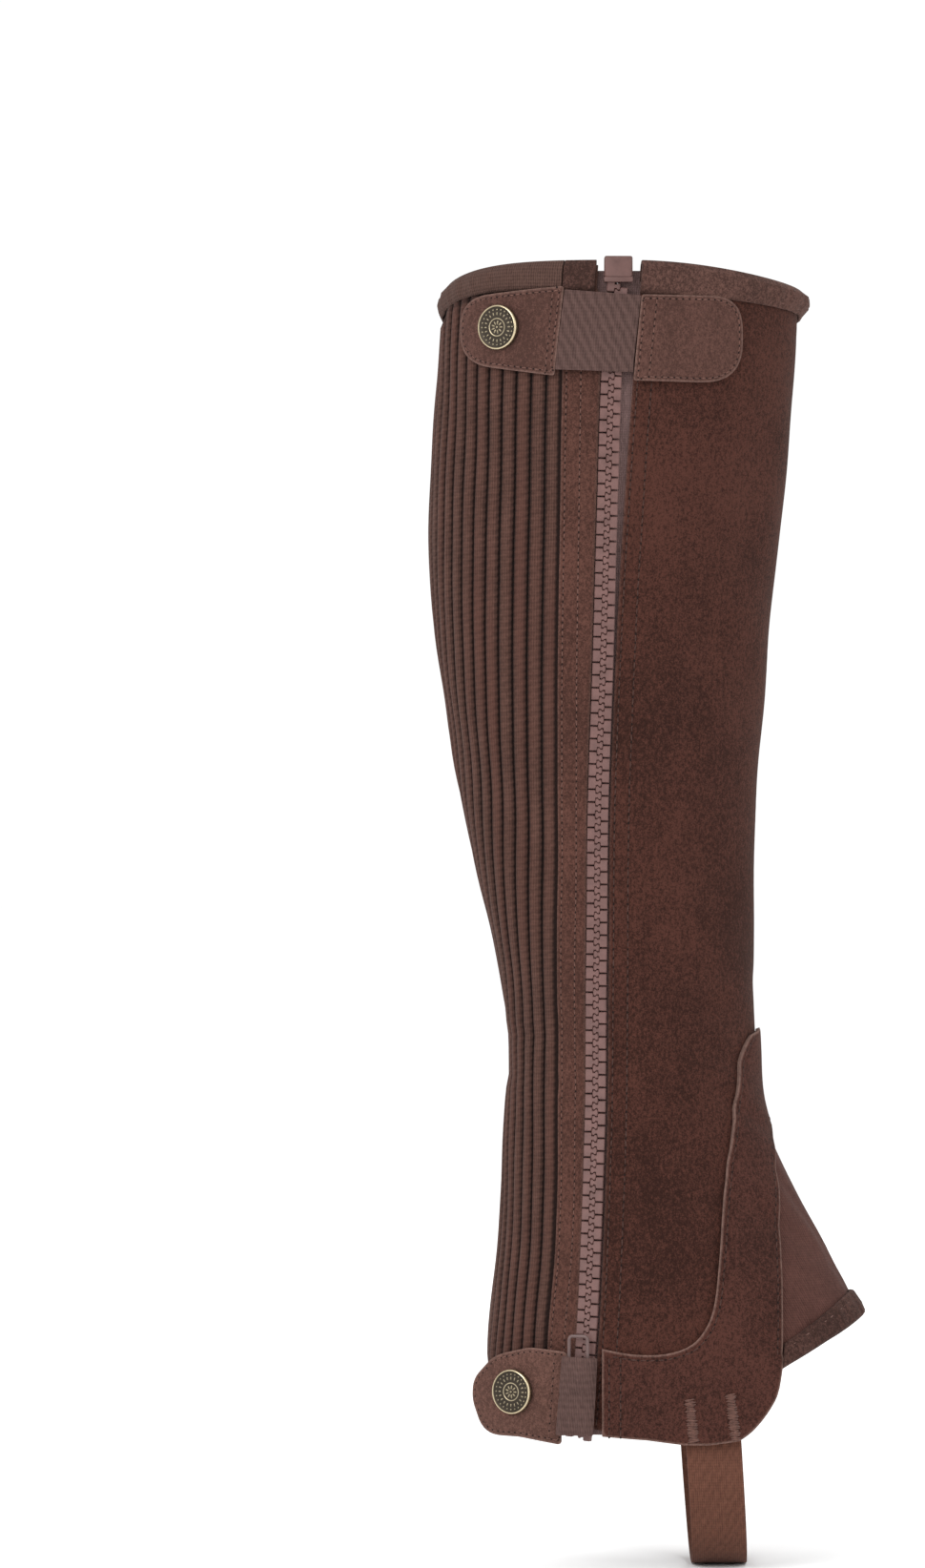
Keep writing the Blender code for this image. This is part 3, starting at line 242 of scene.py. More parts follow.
def spot(angle, z, out):
    """Place on the creased cloth, moved out."""
    angle, z, out = np.broadcast_arrays(
        np.asarray(angle, float), np.asarray(z, float), np.asarray(out, float)
    )
    return off_leg(angle, z, out + sway(angle, z))


def rate(angle, z):
    """Girth in mm for each degree."""
    _, _, dx, dy = leg(angle, z)
    return np.hypot(dx, dy) * pi / 180


def around(angle, z, distance):
    """The angle that lies a distance further round the leg."""
    steps = 24
    step = np.asarray(distance, float) / steps
    for _ in range(steps):
        middle = angle + step / 2 / rate(angle, z)
        angle = angle + step / rate(middle, z)
    return angle


def girth(start, end, z):
    """Distance round the leg between two angles."""
    steps = 40
    step = (np.asarray(end, float) - start) / steps
    return sum(rate(start + (i + 0.5) * step, z) * step for i in range(steps))


def outer_angle(x, z, out=0.0):
    """The angle on the outer side whose place, moved out, has this side-view x."""
    middle, reach, _, _ = section(z)
    aim = np.asarray(x, float)
    for _ in range(8):
        angle = np.degrees(np.arccos(np.clip((middle - aim) / reach, -1, 1)))
        bare_x, _, dx, dy = leg(angle, z)
        aim = aim + (x - (bare_x + dy / np.hypot(dx, dy) * out)) * 0.9
    return angle


def inner_angle(x, z, out=0.0):
    return 360 - outer_angle(x, z, out)


# %% Seam lines, rim and hem
def zip_strip_back(z):
    return outer_angle(smooth(ZIP_LINES, z, 1), z)


def zip_middle(z):
    return outer_angle(smooth(ZIP_LINES, z, 2), z)


def panel_edge(z):
    return outer_angle(smooth(ZIP_LINES, z, 3), z)


def strip_front(z):
    return -smooth(STRIP_LINES, z, 1)


def strip_back(z):
    return -smooth(STRIP_LINES, z, 2)


def notch(z):
    return np.maximum(smooth(FOOT_FRONT, z, 1), 0)


def gusset_seam(z):
    return np.where(np.asarray(z) < GUSSET_TIP, np.maximum(smooth(FOOT_FRONT, z, 2), 0), 0.0)


def rim(angle):
    """Height of the finished rim."""
    s, c = np.sin(np.radians(angle)), np.cos(np.radians(angle))
    inner, back, front = RIM_FULLNESS
    full = np.where(s <= 0, inner, np.where(c > 0, back, front))
    swing = (1 + full) * s - full * s ** 3
    return RIM_MIDDLE + np.where(s > 0, RIM_RISE, RIM_FALL) * swing


def rim_drop(angle):
    """How far down the rim's binding reaches: further beside the zip."""
    away = (np.asarray(angle) - RIM_DEEPER_AT) / RIM_DEEPER_OVER
    return RIM_BAND + RIM_DEEPER * np.exp(-away ** 2)


def panel_top(angle):
    return rim(angle) - PANEL_EDGE


def hem(angle):
    """Height of the leg panels' lower edge."""
    angle = np.asarray(angle, float)
    outer = (angle % 360 > 0) & (angle % 360 < 180)
    z = np.full(angle.shape, HEM_Z)
    for _ in range(8):
        x = leg(angle, z)[0]
        z = np.where(outer, smooth(HEM, x, 1), smooth(HEM, x, 2))
    return z


def toe_hem(angle):
    """Height of the gusset's lower edge."""
    z = np.full(np.shape(angle), TOE_Z)
    for _ in range(14):
        z = TOE_Z - (TOE_X - leg(angle, z)[0]) * TOE_SLOPE
    return z


# between two points: mm up a seam, degrees along the rim or hem
PATH_STEP = 2.5


def seam(line, low, high, shift=0.0):
    """Points (angle, height) up a seam, moved round the leg by a distance."""
    z = np.linspace(low, high, max(2, int(abs(high - low) / PATH_STEP) + 1))
    angle = line(z) * np.ones(len(z))
    return np.column_stack((angle + shift / rate(angle, z), z))


def edge(line, start, end):
    """Points (angle, height) along a rim or hem between two angles."""
    angle = np.linspace(start, end, max(2, int(abs(end - start) / PATH_STEP) + 1))
    return np.column_stack((angle, line(angle)))


print("girth at the calf:", round(float(girth(0.0, 360.0, 0.0))), "mm")
print("girth at the ankle:", round(float(girth(0.0, 360.0, -174.0))), "mm")


# %% [markdown]
# ## Cutting a piece of cloth
# Each panel is drawn flat, as a maker's pattern: an outline of angle and height. The outline is
# filled with points, closer together at the edges and along the sewing lines, joined to
# triangles, and laid on the leg. At the cut edge the surface turns down a little, and the thread
# pulls it in along each sewing line. A Solidify modifier then gives it its real thickness.

# %% Helpers for flat patterns
def joined(*paths):
    """One closed outline from several paths, without doubled points, counter-clockwise."""
    points = np.concatenate([np.asarray(path, float) for path in paths])
    gaps = np.hypot(*(points - np.roll(points, 1, axis=0)).T)
    points = points[gaps > 0.12]
    x, y = points[:, 0], points[:, 1]
    turn = np.sum(x * np.roll(y, -1) - np.roll(x, -1) * y)
    return points if turn > 0 else points[::-1]


def rounded(corners, arc_steps):
    """Outline through corners (x, z, radius), with its corners rounded."""
    outline = []
    for i, (x, z, radius) in enumerate(corners):
        here = Vector((x, z))
        before = Vector(corners[i - 1][:2]) - here
        after = Vector(corners[(i + 1) % len(corners)][:2]) - here
        half = before.angle(after) / 2
        setback = min(radius * cos(half) / sin(half), before.length * 0.48, after.length * 0.48)
        start = here + before.normalized() * setback
        end = here + after.normalized() * setback
        for k in range(arc_steps + 1):
            t = k / arc_steps
            outline.append(tuple(start * (1 - t) ** 2 + here * 2 * t * (1 - t) + end * t * t))
    return outline


def smooth_path(points, parts, closed=False):
    """A smooth path through points, each span cut in parts."""
    count = len(points)
    path = []
    for i in range(count if closed else count - 1):
        near_by = [i + k - 1 for k in range(4)]
        near_by = [n % count if closed else min(max(n, 0), count - 1) for n in near_by]
        p = [np.array(points[n], float) for n in near_by]
        for k in range(parts):
            t = k / parts
            near = (p[2] - p[0]) * t * (1 - t) ** 2 / 2
            far = (p[3] - p[1]) * t * t * (1 - t) / 2
            path.append(p[1] * (1 + 2 * t) * (1 - t) ** 2 + p[2] * t * t * (3 - 2 * t) + near - far)
    if not closed:
        path.append(np.array(points[-1], float))
    return np.array(path)


def divided(path, longest, closed, scale):
    """The path with points added where two are far apart, in true mm."""
    ends = np.roll(path, -1, axis=0) if closed else path[1:]
    starts = path if closed else path[:-1]
    points = []
    for start, end in zip(starts, ends):
        step = (end - start) * np.array([scale(*((start + end) / 2)), 1.0])
        parts = max(1, int(np.ceil(hypot(*step) / longest)))
        points += [start + (end - start) * k / parts for k in range(parts)]
    if not closed:
        points.append(path[-1])
    return np.array(points)


def moved_in(path, distance, scale, closed=True):
    """The path moved to its left by a distance in true mm: inwards, on an outline."""
    ahead = np.roll(path, -1, axis=0) - path
    behind = path - np.roll(path, 1, axis=0)
    if not closed:
        ahead[-1], behind[0] = behind[-1], ahead[0]
    size = np.column_stack((scale(path[:, 0], path[:, 1]), np.ones(len(path))))
    ahead, behind = ahead * size, behind * size
    ahead /= np.maximum(np.hypot(*ahead.T), 1e-9)[:, None]
    behind /= np.maximum(np.hypot(*behind.T), 1e-9)[:, None]
    along = ahead + behind
    along /= np.maximum(np.hypot(*along.T), 1e-9)[:, None]
    left = np.column_stack((-along[:, 1], along[:, 0]))
    return path + left * distance / size


def nearest(points, targets):
    """For each point, its distance to the nearest target."""
    found = np.empty(len(points))
    for start in range(0, len(points), 2000):
        part = points[start:start + 2000]
        squares = (part ** 2).sum(1)[:, None] + (targets ** 2).sum(1) - 2 * part @ targets.T
        found[start:start + 2000] = np.sqrt(np.maximum(squares.min(axis=1), 0))
    return found


def within(points, outline):
    """Whether each flat point lies inside the outline."""
    u, v = points[:, 0][:, None], points[:, 1][:, None]
    u1, v1 = outline[:, 0], outline[:, 1]
    u0, v0 = np.roll(u1, 1), np.roll(v1, 1)
    rise = np.where(v1 == v0, 1e-12, v1 - v0)
    crossed = ((v0 > v) != (v1 > v)) & (u < u0 + (u1 - u0) * (v - v0) / rise)
    return crossed.sum(axis=1) % 2 == 1


def triangles(outline, inner):
    """Points and counter-clockwise faces that fill an outline, with points inside it."""
    corners = [Vector(p) for p in np.concatenate((outline, inner)).tolist()]
    found = delaunay_2d_cdt(corners, [], [list(range(len(outline)))], 1, 1e-5)
    points = np.array([tuple(p) for p in found[0]])
    faces = np.array([tuple(face) for face in found[2]])
    a, b, c = (points[faces[:, k]] for k in range(3))
    turn = (b[:, 0] - a[:, 0]) * (c[:, 1] - a[:, 1]) - (c[:, 0] - a[:, 0]) * (b[:, 1] - a[:, 1])
    faces[turn < 0] = faces[turn < 0][:, ::-1]
    return points, faces


# %% Lay a pattern on the leg
# how far the points stand apart along an outline, a row of stitches and a line to measure from
OUTLINE_STEP = 1.7
ROW_STEP = 1.9
FINE_STEP = 0.4
HELD_APART = 0.4
LOOK_BACK = 260
# rings of points inside the cut edge, and how far other points stay clear of them
EDGE_RINGS = (0.35, 0.95)
RING_KEPT = 0.86
ROW_CLEAR = 0.35
GRID_CLEAR = 0.5
GRID_APART = 1.2
# how deep and how wide the edge turns down and the thread pulls in
EDGE_REACH = 0.55
THREAD_PULL = 0.26
THREAD_REACH = 0.75
GUIDES = {}


def on_leg(u, v, out):
    return spot(u / FLAT, v, out)


def leg_scale(u, v):
    return rate(u / FLAT, v) / FLAT


def leg_uv(middle):
    """Cloth coordinates in metres, for a pattern that runs up the leg."""
    def coordinates(u, v):
        return girth(middle, u / FLAT, v) * MM, v * MM
    return coordinates


# %% Make a mesh from points and faces
def from_arrays(name, points, faces, material):
    """An object from an array of points in mm and a list of faces."""
    mesh = bpy.data.meshes.new(name)
    mesh.from_pydata((np.asarray(points) * MM).tolist(), [], [tuple(map(int, f)) for f in faces])
    mesh.materials.append(material)
    item = bpy.data.objects.new(name, mesh)
    bpy.context.scene.collection.objects.link(item)
    return item


def ring_faces(rings, count, closed=False):
    """Faces between rings of points; closed joins the last ring to the first."""
    faces = []
    for r in range(rings if closed else rings - 1):
        a, b = r * count, (r + 1) % rings * count
        faces += [(a + k, a + (k + 1) % count, b + (k + 1) % count, b + k) for k in range(count)]
    return faces


def end_faces(rings, count):
    """The two faces that close such a row of rings."""
    last = (rings - 1) * count
    return [tuple(range(count - 1, -1, -1)), tuple(range(last, last + count))]


def turn_outwards(item):
    mesh = bmesh.new()
    mesh.from_mesh(item.data)
    bmesh.ops.recalc_face_normals(mesh, faces=mesh.faces)
    mesh.to_mesh(item.data)
    mesh.free()


def set_attribute(item, name, values):
    layer = item.data.attributes.new(name, "FLOAT", "POINT")
    layer.data.foreach_set("value", np.asarray(values, np.float32))


def set_uv(item, u, v):
    layer = item.data.uv_layers.new(name="UVMap")
    corner = np.empty(len(item.data.loops), np.int32)
    item.data.loops.foreach_get("vertex_index", corner)
    layer.data.foreach_set("uv", np.column_stack((u[corner], v[corner])).ravel())


def finished(item, sharp=55):
    """Apply what modifiers the piece has, smooth it and keep only its sharp edges sharp."""
    graph = bpy.context.evaluated_depsgraph_get()
    mesh = bpy.data.meshes.new_from_object(item.evaluated_get(graph))
    old = item.data
    item.modifiers.clear()
    item.data = mesh
    bpy.data.meshes.remove(old)
    mesh.name = item.name
    mesh.polygons.foreach_set("use_smooth", np.ones(len(mesh.polygons), bool))
    mesh.set_sharp_from_angle(angle=radians(sharp))
    mesh.update()
    return item


def thicken(item, thickness):
    solid = item.modifiers.new("Cloth", "SOLIDIFY")
    solid.thickness = thickness * MM
    solid.offset = -1
    return finished(item)


# %% Points that fill a pattern, and the rows of stitches on it
def straight_grid(outline, spacing, scale):
    """Points over the outline's box, every second row moved by half a step."""
    low, high = outline.min(axis=0), outline.max(axis=0)
    step = spacing / float(np.mean(scale(outline[:, 0], outline[:, 1])))
    across = np.arange(low[0], high[0], step)
    points = []
    for row, v in enumerate(np.arange(low[1], high[1], spacing)):
        shift = step / 2 if row % 2 else 0.0
        points.append(np.column_stack((across + shift, np.full(len(across), v))))
    return np.concatenate(points)


def sewn_guide(name, path, place, out, closed=False):
    """Keep a sewing line's points and the directions in which the cloth faces there."""
    step = 0.05
    u, v = path[:, 0], path[:, 1]
    here = place(u, v, out)
    right = place(u + step, v, out) - place(u - step, v, out)
    up = place(u, v + step, out) - place(u, v - step, out)
    normal = np.cross(right, up)
    normal /= np.linalg.norm(normal, axis=1)[:, None]
    GUIDES.setdefault(name, []).append((here, normal, closed))


def sew(kind, rows, out, rise, place=on_leg):
    """Keep rows of stitches, each (path, closed); rise is the thread's height in its groove."""
    for row, closed in rows:
        height = out(*row.T) if callable(out) else out
        sewn_guide(kind, row, place, height - THREAD_PULL + rise, closed)


def held_points(outline, lines, at, scale, border):
    """Points held close along the cut edge and the rows of stitches, their places, the rows."""
    held, threads = [], []
    for distance in EDGE_RINGS:
        ring = moved_in(outline, distance, scale)
        ring = ring[within(ring, outline)]
        held.append(ring[nearest(at(ring), border) > distance * RING_KEPT])
    for path, closed in lines:
        path = divided(np.asarray(path), ROW_STEP, closed, scale)
        threads.append(at(divided(path, FINE_STEP, closed, scale)))
        for side in (-THREAD_REACH, 0.0, THREAD_REACH):
            row = moved_in(path, side, scale, closed) if side else path
            row = row[within(row, outline)]
            held.append(row[nearest(at(row), border) > EDGE_RINGS[-1] + ROW_CLEAR])
    held = np.concatenate(held)
    held_at = at(held)
    keep = []
    for i, point in enumerate(held_at):
        if all(np.sum((held_at[k] - point) ** 2) > HELD_APART ** 2 for k in keep[-LOOK_BACK:]):
            keep.append(i)
    return held[keep], held_at[keep], threads


# %% Lay, pull in and thicken one piece of cloth
def cloth(name, outline, material, thickness, out=0.0, place=on_leg, scale=leg_scale,
          coordinates=None, spacing=2.3, lines=(), rounding=0.32):
    """Cut a pattern, lay it on the leg and thicken it. lines are (path, closed) to be sewn."""
    lift = out if callable(out) else (lambda u, v: np.full(np.shape(u), float(out)))

    def at(points):
        return place(*points.T, lift(*points.T))

    outline = divided(outline, OUTLINE_STEP, True, scale)
    border = at(divided(outline, FINE_STEP, True, scale))
    held, held_at, threads = held_points(outline, lines, at, scale, border)
    grid = straight_grid(outline, spacing, scale)
    grid = grid[within(grid, outline)]
    grid = grid[nearest(at(grid), border) > EDGE_RINGS[-1] + GRID_CLEAR]
    grid = grid[nearest(at(grid), held_at) > min(GRID_APART, spacing * 0.6)]
    points, faces = triangles(outline, np.concatenate((held, grid)))
    u, v = points.T
    level = lift(u, v)
    bare = place(u, v, level)
    from_edge = nearest(bare, border)
    level = level - rounding * np.exp(-(from_edge / EDGE_REACH) ** 2)
    for thread in threads:
        level = level - THREAD_PULL * np.exp(-(nearest(bare, thread) / THREAD_REACH) ** 2)
    item = from_arrays(name, place(u, v, level), faces, material)
    set_attribute(item, "edge", from_edge)
    if coordinates is None:
        coordinates = leg_uv(float(np.mean(outline[:, 0])) / FLAT)
    set_uv(item, *(np.asarray(c) for c in coordinates(u, v)))
    area = sum(p.area for p in item.data.polygons)
    thicken(item, thickness)
    print(f"{name}: {len(item.data.polygons)} faces, {area * 1e4:.0f} square cm")
    return item


# %% [markdown]
# ## Finishes
# Every finish is made of noise and waves in the shader. Suede is a short nap that lies in
# patches of slightly different direction, so it is mottled light and dark; at a cut edge the
# raw, paler inside shows. Knits and woven bands have fine regular lines, which follow the
# piece's own cloth coordinates. A fine bump gives each its grain.

# %% A new material
def new_material(name, roughness, metallic=0.0, sheen=0.0, sheen_colour=(1, 1, 1)):
    material = bpy.data.materials.new(name)
    material.use_nodes = True
    tree = material.node_tree
    shader = tree.nodes["Principled BSDF"]
    for socket, value in (
        ("Roughness", roughness), ("Metallic", metallic), ("Sheen Weight", sheen),
        ("Sheen Roughness", 0.5), ("Sheen Tint", (*sheen_colour, 1)),
        ("Specular IOR Level", 0.5 if metallic else 0.1),
    ):
        shader.inputs[socket].default_value = value
    return material, tree, shader


# %% Small shader functions
def feed(tree, socket, value):
    """Set an input to a number or colour, or link another node's output to it."""
    if isinstance(value, bpy.types.NodeSocket):
        tree.links.new(value, socket)
    else:
        socket.default_value = value


def added(tree, kind, inputs, output=0):
    """Add a node, feed its inputs by name or number, and give one of its outputs."""
    node = tree.nodes.new(kind)
    for socket, value in inputs.items():
        feed(tree, node.inputs[socket], value)
    return node.outputs[output]


def place_nodes(tree, kind="Object"):
    return added(tree, "ShaderNodeTexCoord", {}, kind)


def stretched(tree, vector, size, turn=(0, 0, 0)):
    inputs = {"Vector": vector, "Scale": size, "Rotation": turn}
    return added(tree, "ShaderNodeMapping", inputs)


def noise(tree, vector, scale, detail, rough=0.55):
    inputs = {"Vector": vector, "Scale": scale, "Detail": detail, "Roughness": rough}
    return added(tree, "ShaderNodeTexNoise", inputs, "Fac")


def waves(tree, vector, scale, direction, distortion, rough_scale):
    output = added(tree, "ShaderNodeTexWave", {
        "Vector": vector, "Scale": scale, "Distortion": distortion, "Detail": 1.0,
        "Detail Scale": rough_scale,
    }, "Fac")
    output.node.bands_direction = direction
    return output


def worked_out(tree, operation, *values):
    """A sum or product of numbers and outputs, by one Math node."""
    output = added(tree, "ShaderNodeMath", dict(enumerate(values)))
    output.node.operation = operation
    return output


def times(tree, one, two):
    return worked_out(tree, "MULTIPLY", one, two)


def sum_of(tree, *terms):
    """Weighted sum of outputs: terms are (output, weight), or a plain number to add."""
    total = 0.0
    for term in terms:
        if isinstance(term, tuple):
            total = worked_out(tree, "MULTIPLY_ADD", *term, total)
        else:
            total = worked_out(tree, "ADD", total, term)
    return total


def ramp(tree, factor, low, high, start=0.0, end=1.0):
    """A factor mapped between two limits, kept within them."""
    return added(tree, "ShaderNodeMapRange", {
        "Value": factor, "From Min": start, "From Max": end, "To Min": low, "To Max": high,
    })


def blend(tree, factor, one, two):
    node = tree.nodes.new("ShaderNodeMix")
    node.data_type = "RGBA"
    feed(tree, node.inputs["Factor"], factor)
    feed(tree, node.inputs[6], one if not isinstance(one, tuple) else (*one, 1))
    feed(tree, node.inputs[7], two if not isinstance(two, tuple) else (*two, 1))
    return node.outputs[2]


def relief(tree, shader, height, distance, strength):
    """Add a bump, in mm, over what the shader's normal already has."""
    normal = shader.inputs["Normal"]
    inputs = {"Height": height, "Distance": distance * MM, "Strength": strength}
    for link in normal.links:
        inputs["Normal"] = link.from_socket
    tree.links.new(added(tree, "ShaderNodeBump", inputs), normal)


def own_value(tree, name):
    output = added(tree, "ShaderNodeAttribute", {}, "Fac")
    output.node.attribute_name = name
    return output


def shade(colour, factor):
    return tuple(c * factor for c in colour)


# %% Suede
RAW_EDGE = (0.215, 0.135, 0.112)


def make_suede(name, colour, nap, raw, inner=None):
    """Brushed suede: colour is its middle tone, nap its mottling, raw how pale its cut edge.

    inner is a darker tone painted on the leg's inner side as shade, where the nap lies the other
    way.
    """
    material, tree, shader = new_material(name, 0.95, sheen=0.05, sheen_colour=(1, 0.75, 0.66))
    place = place_nodes(tree)
    clouds = noise(tree, place, 16.0, 2.0, 0.5)
    blotches = noise(tree, stretched(tree, place, (1, 1, 0.6)), 62.0, 3.0, 0.6)
    streaks = noise(tree, stretched(tree, place, (1, 1, 0.45), (0.5, 0.3, 0.2)), 210.0, 3.0, 0.6)
    grain = noise(tree, stretched(tree, place, (1, 1, 0.7)), 1000.0, 3.0, 0.7)
    fuzz = noise(tree, place, 2200.0, 3.0, 0.75)
    mottle = sum_of(tree, (clouds, 0.5), (blotches, 0.3), (streaks, 0.2), (grain, 1.2),
                    (fuzz, 1.3))
    middle, spread = 1.75, 0.18
    factor = ramp(tree, mottle, 0.0, 1.0, middle - spread, middle + spread)
    low, high = 1 - 0.48 * nap, 1 + 0.54 * nap
    base = blend(tree, factor, shade(colour, low), shade(colour, high))
    # where object y is above zero, on the leg's inner side, the darker inner tone is painted in:
    # painted shade
    if inner:
        across = tree.nodes.new("ShaderNodeSeparateXYZ")
        feed(tree, across.inputs[0], place)
        other = blend(tree, factor, shade(inner, low), shade(inner, high))
        base = blend(tree, ramp(tree, across.outputs[1], 0.0, 1.0, 0.0, 0.016), base, other)
    edge_fade = ramp(tree, own_value(tree, "edge"), 1.0, 0.0, 0.1, 0.9)
    worn = times(tree, edge_fade, ramp(tree, grain, raw * 0.45, raw, 0.3, 0.65))
    feed(tree, shader.inputs["Base Color"], blend(tree, worn, base, RAW_EDGE))
    relief(tree, shader, sum_of(tree, (fuzz, 1.0), (grain, 0.8), (streaks, 0.5)), 0.28, 0.85)
    return material


# middle tones of the outer panel, top tabs, ankle tab, patch, strips, guard and bindings
SUEDE_PANEL = (0.0437, 0.0161, 0.0115)
SUEDE_TAB = (0.072, 0.0345, 0.0275)
SUEDE_ANKLE = (0.094, 0.046, 0.036)
SUEDE_PATCH = (0.066, 0.023, 0.0165)
SUEDE_STRIP = (0.066, 0.0285, 0.0215)
SUEDE_GUARD = (0.0455, 0.0172, 0.0128)
# the guard's inner side, darker and redder: painted shade for the nap lying the other way
GUARD_INNER_PAINTED_SHADE = (0.027, 0.0068, 0.0052)
# the rim's binding is lighter: a painted highlight for the light falling on its roll from above;
# the hem's binding uses it too
SUEDE_RIM_HIGHLIGHTED = (0.072, 0.036, 0.029)
SUEDE_BIND = (0.053, 0.026, 0.021)
suede_panel = make_suede("suede_panel", SUEDE_PANEL, 1.0, 0.15)
suede_strip = make_suede("suede_strip", SUEDE_STRIP, 0.8, 0.25)
suede_tab = make_suede("suede_tab", SUEDE_TAB, 0.65, 0.5)
suede_ankle = make_suede("suede_ankle", SUEDE_ANKLE, 0.65, 0.5)
suede_patch = make_suede("suede_patch", SUEDE_PATCH, 0.9, 0.6)
suede_guard = make_suede("suede_guard", SUEDE_GUARD, 1.0, 0.75, GUARD_INNER_PAINTED_SHADE)
suede_binding = make_suede("suede_binding", SUEDE_BIND, 0.9, 0.0)
suede_rim = make_suede("suede_rim", SUEDE_RIM_HIGHLIGHTED, 0.9, 0.0)


# %% Stretch fabric, rib knit, elastic, webbing and tape
# length of one wave of the wave texture at scale 1
WAVE_LENGTH = 2 * pi / 20


def threads(tree, vector, pitch, direction="X", distortion=0.8):
    """Parallel threads, pitch mm apart."""
    return waves(tree, vector, WAVE_LENGTH / (pitch * MM), direction, distortion, 2.0)


def make_knit(name, colour, across, along, lines, drift, bump, ripple=0.0):
    """A cloth with fine lines: across and along are the threads' spacing in mm.

    ripple adds slanting light and dark waves, as in stretched elastic.
    """
    material, tree, shader = new_material(name, 0.95, sheen=0.04, sheen_colour=(1, 0.85, 0.8))
    uv = place_nodes(tree, "UV")
    wale, course = threads(tree, uv, across), threads(tree, uv, along, "Y")
    cloud = noise(tree, place_nodes(tree), 70.0, 3.0, 0.6)
    grain = noise(tree, stretched(tree, uv, (1.0, 0.35, 1)), 1300.0, 2.0, 0.7)
    slant = stretched(tree, uv, (1, 1, 1), (0, 0, radians(-28)))
    wavy = threads(tree, slant, 2.7, "X", 2.5)
    weave = sum_of(tree, (wale, lines), (course, lines * 0.5), (grain, 1.2), (cloud, drift * 2),
                   (wavy, ripple))
    middle = lines * 0.75 + 0.6 + drift + ripple * 0.5
    spread = 0.28 + lines * 0.5 + ripple * 0.5
    factor = ramp(tree, weave, 0.0, 1.0, middle - spread, middle + spread)
    dark, light = shade(colour, 0.58), shade(colour, 1.46)
    feed(tree, shader.inputs["Base Color"], blend(tree, factor, dark, light))
    height = sum_of(tree, (wale, lines * 1.2), (course, lines * 0.6), (grain, 0.8),
                    (wavy, ripple * 1.5))
    relief(tree, shader, height, bump, 0.9)
    return material, tree, shader


STRETCH_BROWN = (0.046, 0.018, 0.0155)
GUSSET_BROWN = (0.066, 0.029, 0.0235)
ELASTIC_GREY = (0.072, 0.042, 0.037)
RIM_KNIT_BROWN = (0.064, 0.035, 0.028)
WEBBING_BROWN = (0.100, 0.042, 0.028)
TAPE_MAUVE = (0.140, 0.088, 0.083)
stretch_cloth = make_knit("stretch_cloth", STRETCH_BROWN, 0.9, 0.8, 0.25, 0.5, 0.12)[0]
gusset_fabric = make_knit("gusset_fabric", GUSSET_BROWN, 0.9, 0.8, 0.3, 0.3, 0.12)[0]
elastic_cloth = make_knit("elastic_cloth", ELASTIC_GREY, 0.8, 1.1, 0.4, 0.1, 0.22, 0.6)[0]
elastic_plain = make_knit("elastic_plain", ELASTIC_GREY, 0.75, 2.1, 0.35, 0.3, 0.2, 0.1)[0]
rim_knit_cloth = make_knit("rim_knit_cloth", RIM_KNIT_BROWN, 0.8, 1.2, 0.6, 0.2, 0.22)[0]
webbing = make_knit("webbing", WEBBING_BROWN, 0.7, 0.95, 0.3, 0.2, 0.22, 0.15)[0]
tape_cloth = make_knit("tape_cloth", TAPE_MAUVE, 0.7, 0.8, 0.4, 0.2, 0.14)[0]


def make_ribs():
    """Rib knit: fine lines up each rib, a little redder on some, with painted shade in the grooves
    and where the ribs run out flat.
    """
    colour = (0.067, 0.033, 0.0255)
    material, tree, shader = make_knit("rib_cloth", colour, 0.87, 1.1, 0.5, 0.4, 0.2)
    base = shader.inputs["Base Color"].links[0].from_socket
    uv = place_nodes(tree, "UV")
    tint = noise(tree, stretched(tree, uv, (1, 0.08, 1)), 120.0, 1.0, 0.5)
    redder = blend(tree, ramp(tree, tint, 0.0, 0.5, 0.42, 0.68), base, (0.080, 0.033, 0.025))
    slant = stretched(tree, uv, (1, 1, 1), (0, 0, radians(13)))
    pinch = waves(tree, slant, WAVE_LENGTH / (2.4 * MM), "Y", 2.2, 3.0)
    crest = own_value(tree, "crest")
    # groove: painted shade, near black where the rib's crest is low: in the grooves, along the wavy
    # pinches and on the flat ends of the ribs
    groove = ramp(tree, sum_of(tree, (crest, 1.0), (pinch, 0.16), -0.08), 0.0, 1.0, 0.38, 1.0)
    relief(tree, shader, times(tree, pinch, ramp(tree, crest, 1.0, 0.0, 0.2, 0.9)), 0.4, 0.8)
    # this near-black colour is the painted shade of the grooves
    feed(tree, shader.inputs["Base Color"], blend(tree, groove, (0.012, 0.006, 0.005), redder))
    return material


rib_cloth = make_ribs()


# %% Thread, moulded zip, metal
def make_thread(name, colour):
    material, tree, shader = new_material(name, 0.75, sheen=0.1)
    place = place_nodes(tree)
    factor = noise(tree, place, 900.0, 2.0, 0.6)
    base = blend(tree, ramp(tree, factor, 0, 1, 0.3, 0.7), shade(colour, 0.7), shade(colour, 1.3))
    feed(tree, shader.inputs["Base Color"], base)
    relief(tree, shader, factor, 0.1, 0.6)
    return material


thread_light = make_thread("thread_light", (0.120, 0.059, 0.046))
thread_pale = make_thread("thread_pale", (0.125, 0.067, 0.055))
thread_dark = make_thread("thread_dark", (0.058, 0.028, 0.022))
# near-black beads set between the stitches: painted shade of the needle holes
hole_shade = make_thread("needle_hole", (0.010, 0.005, 0.004))


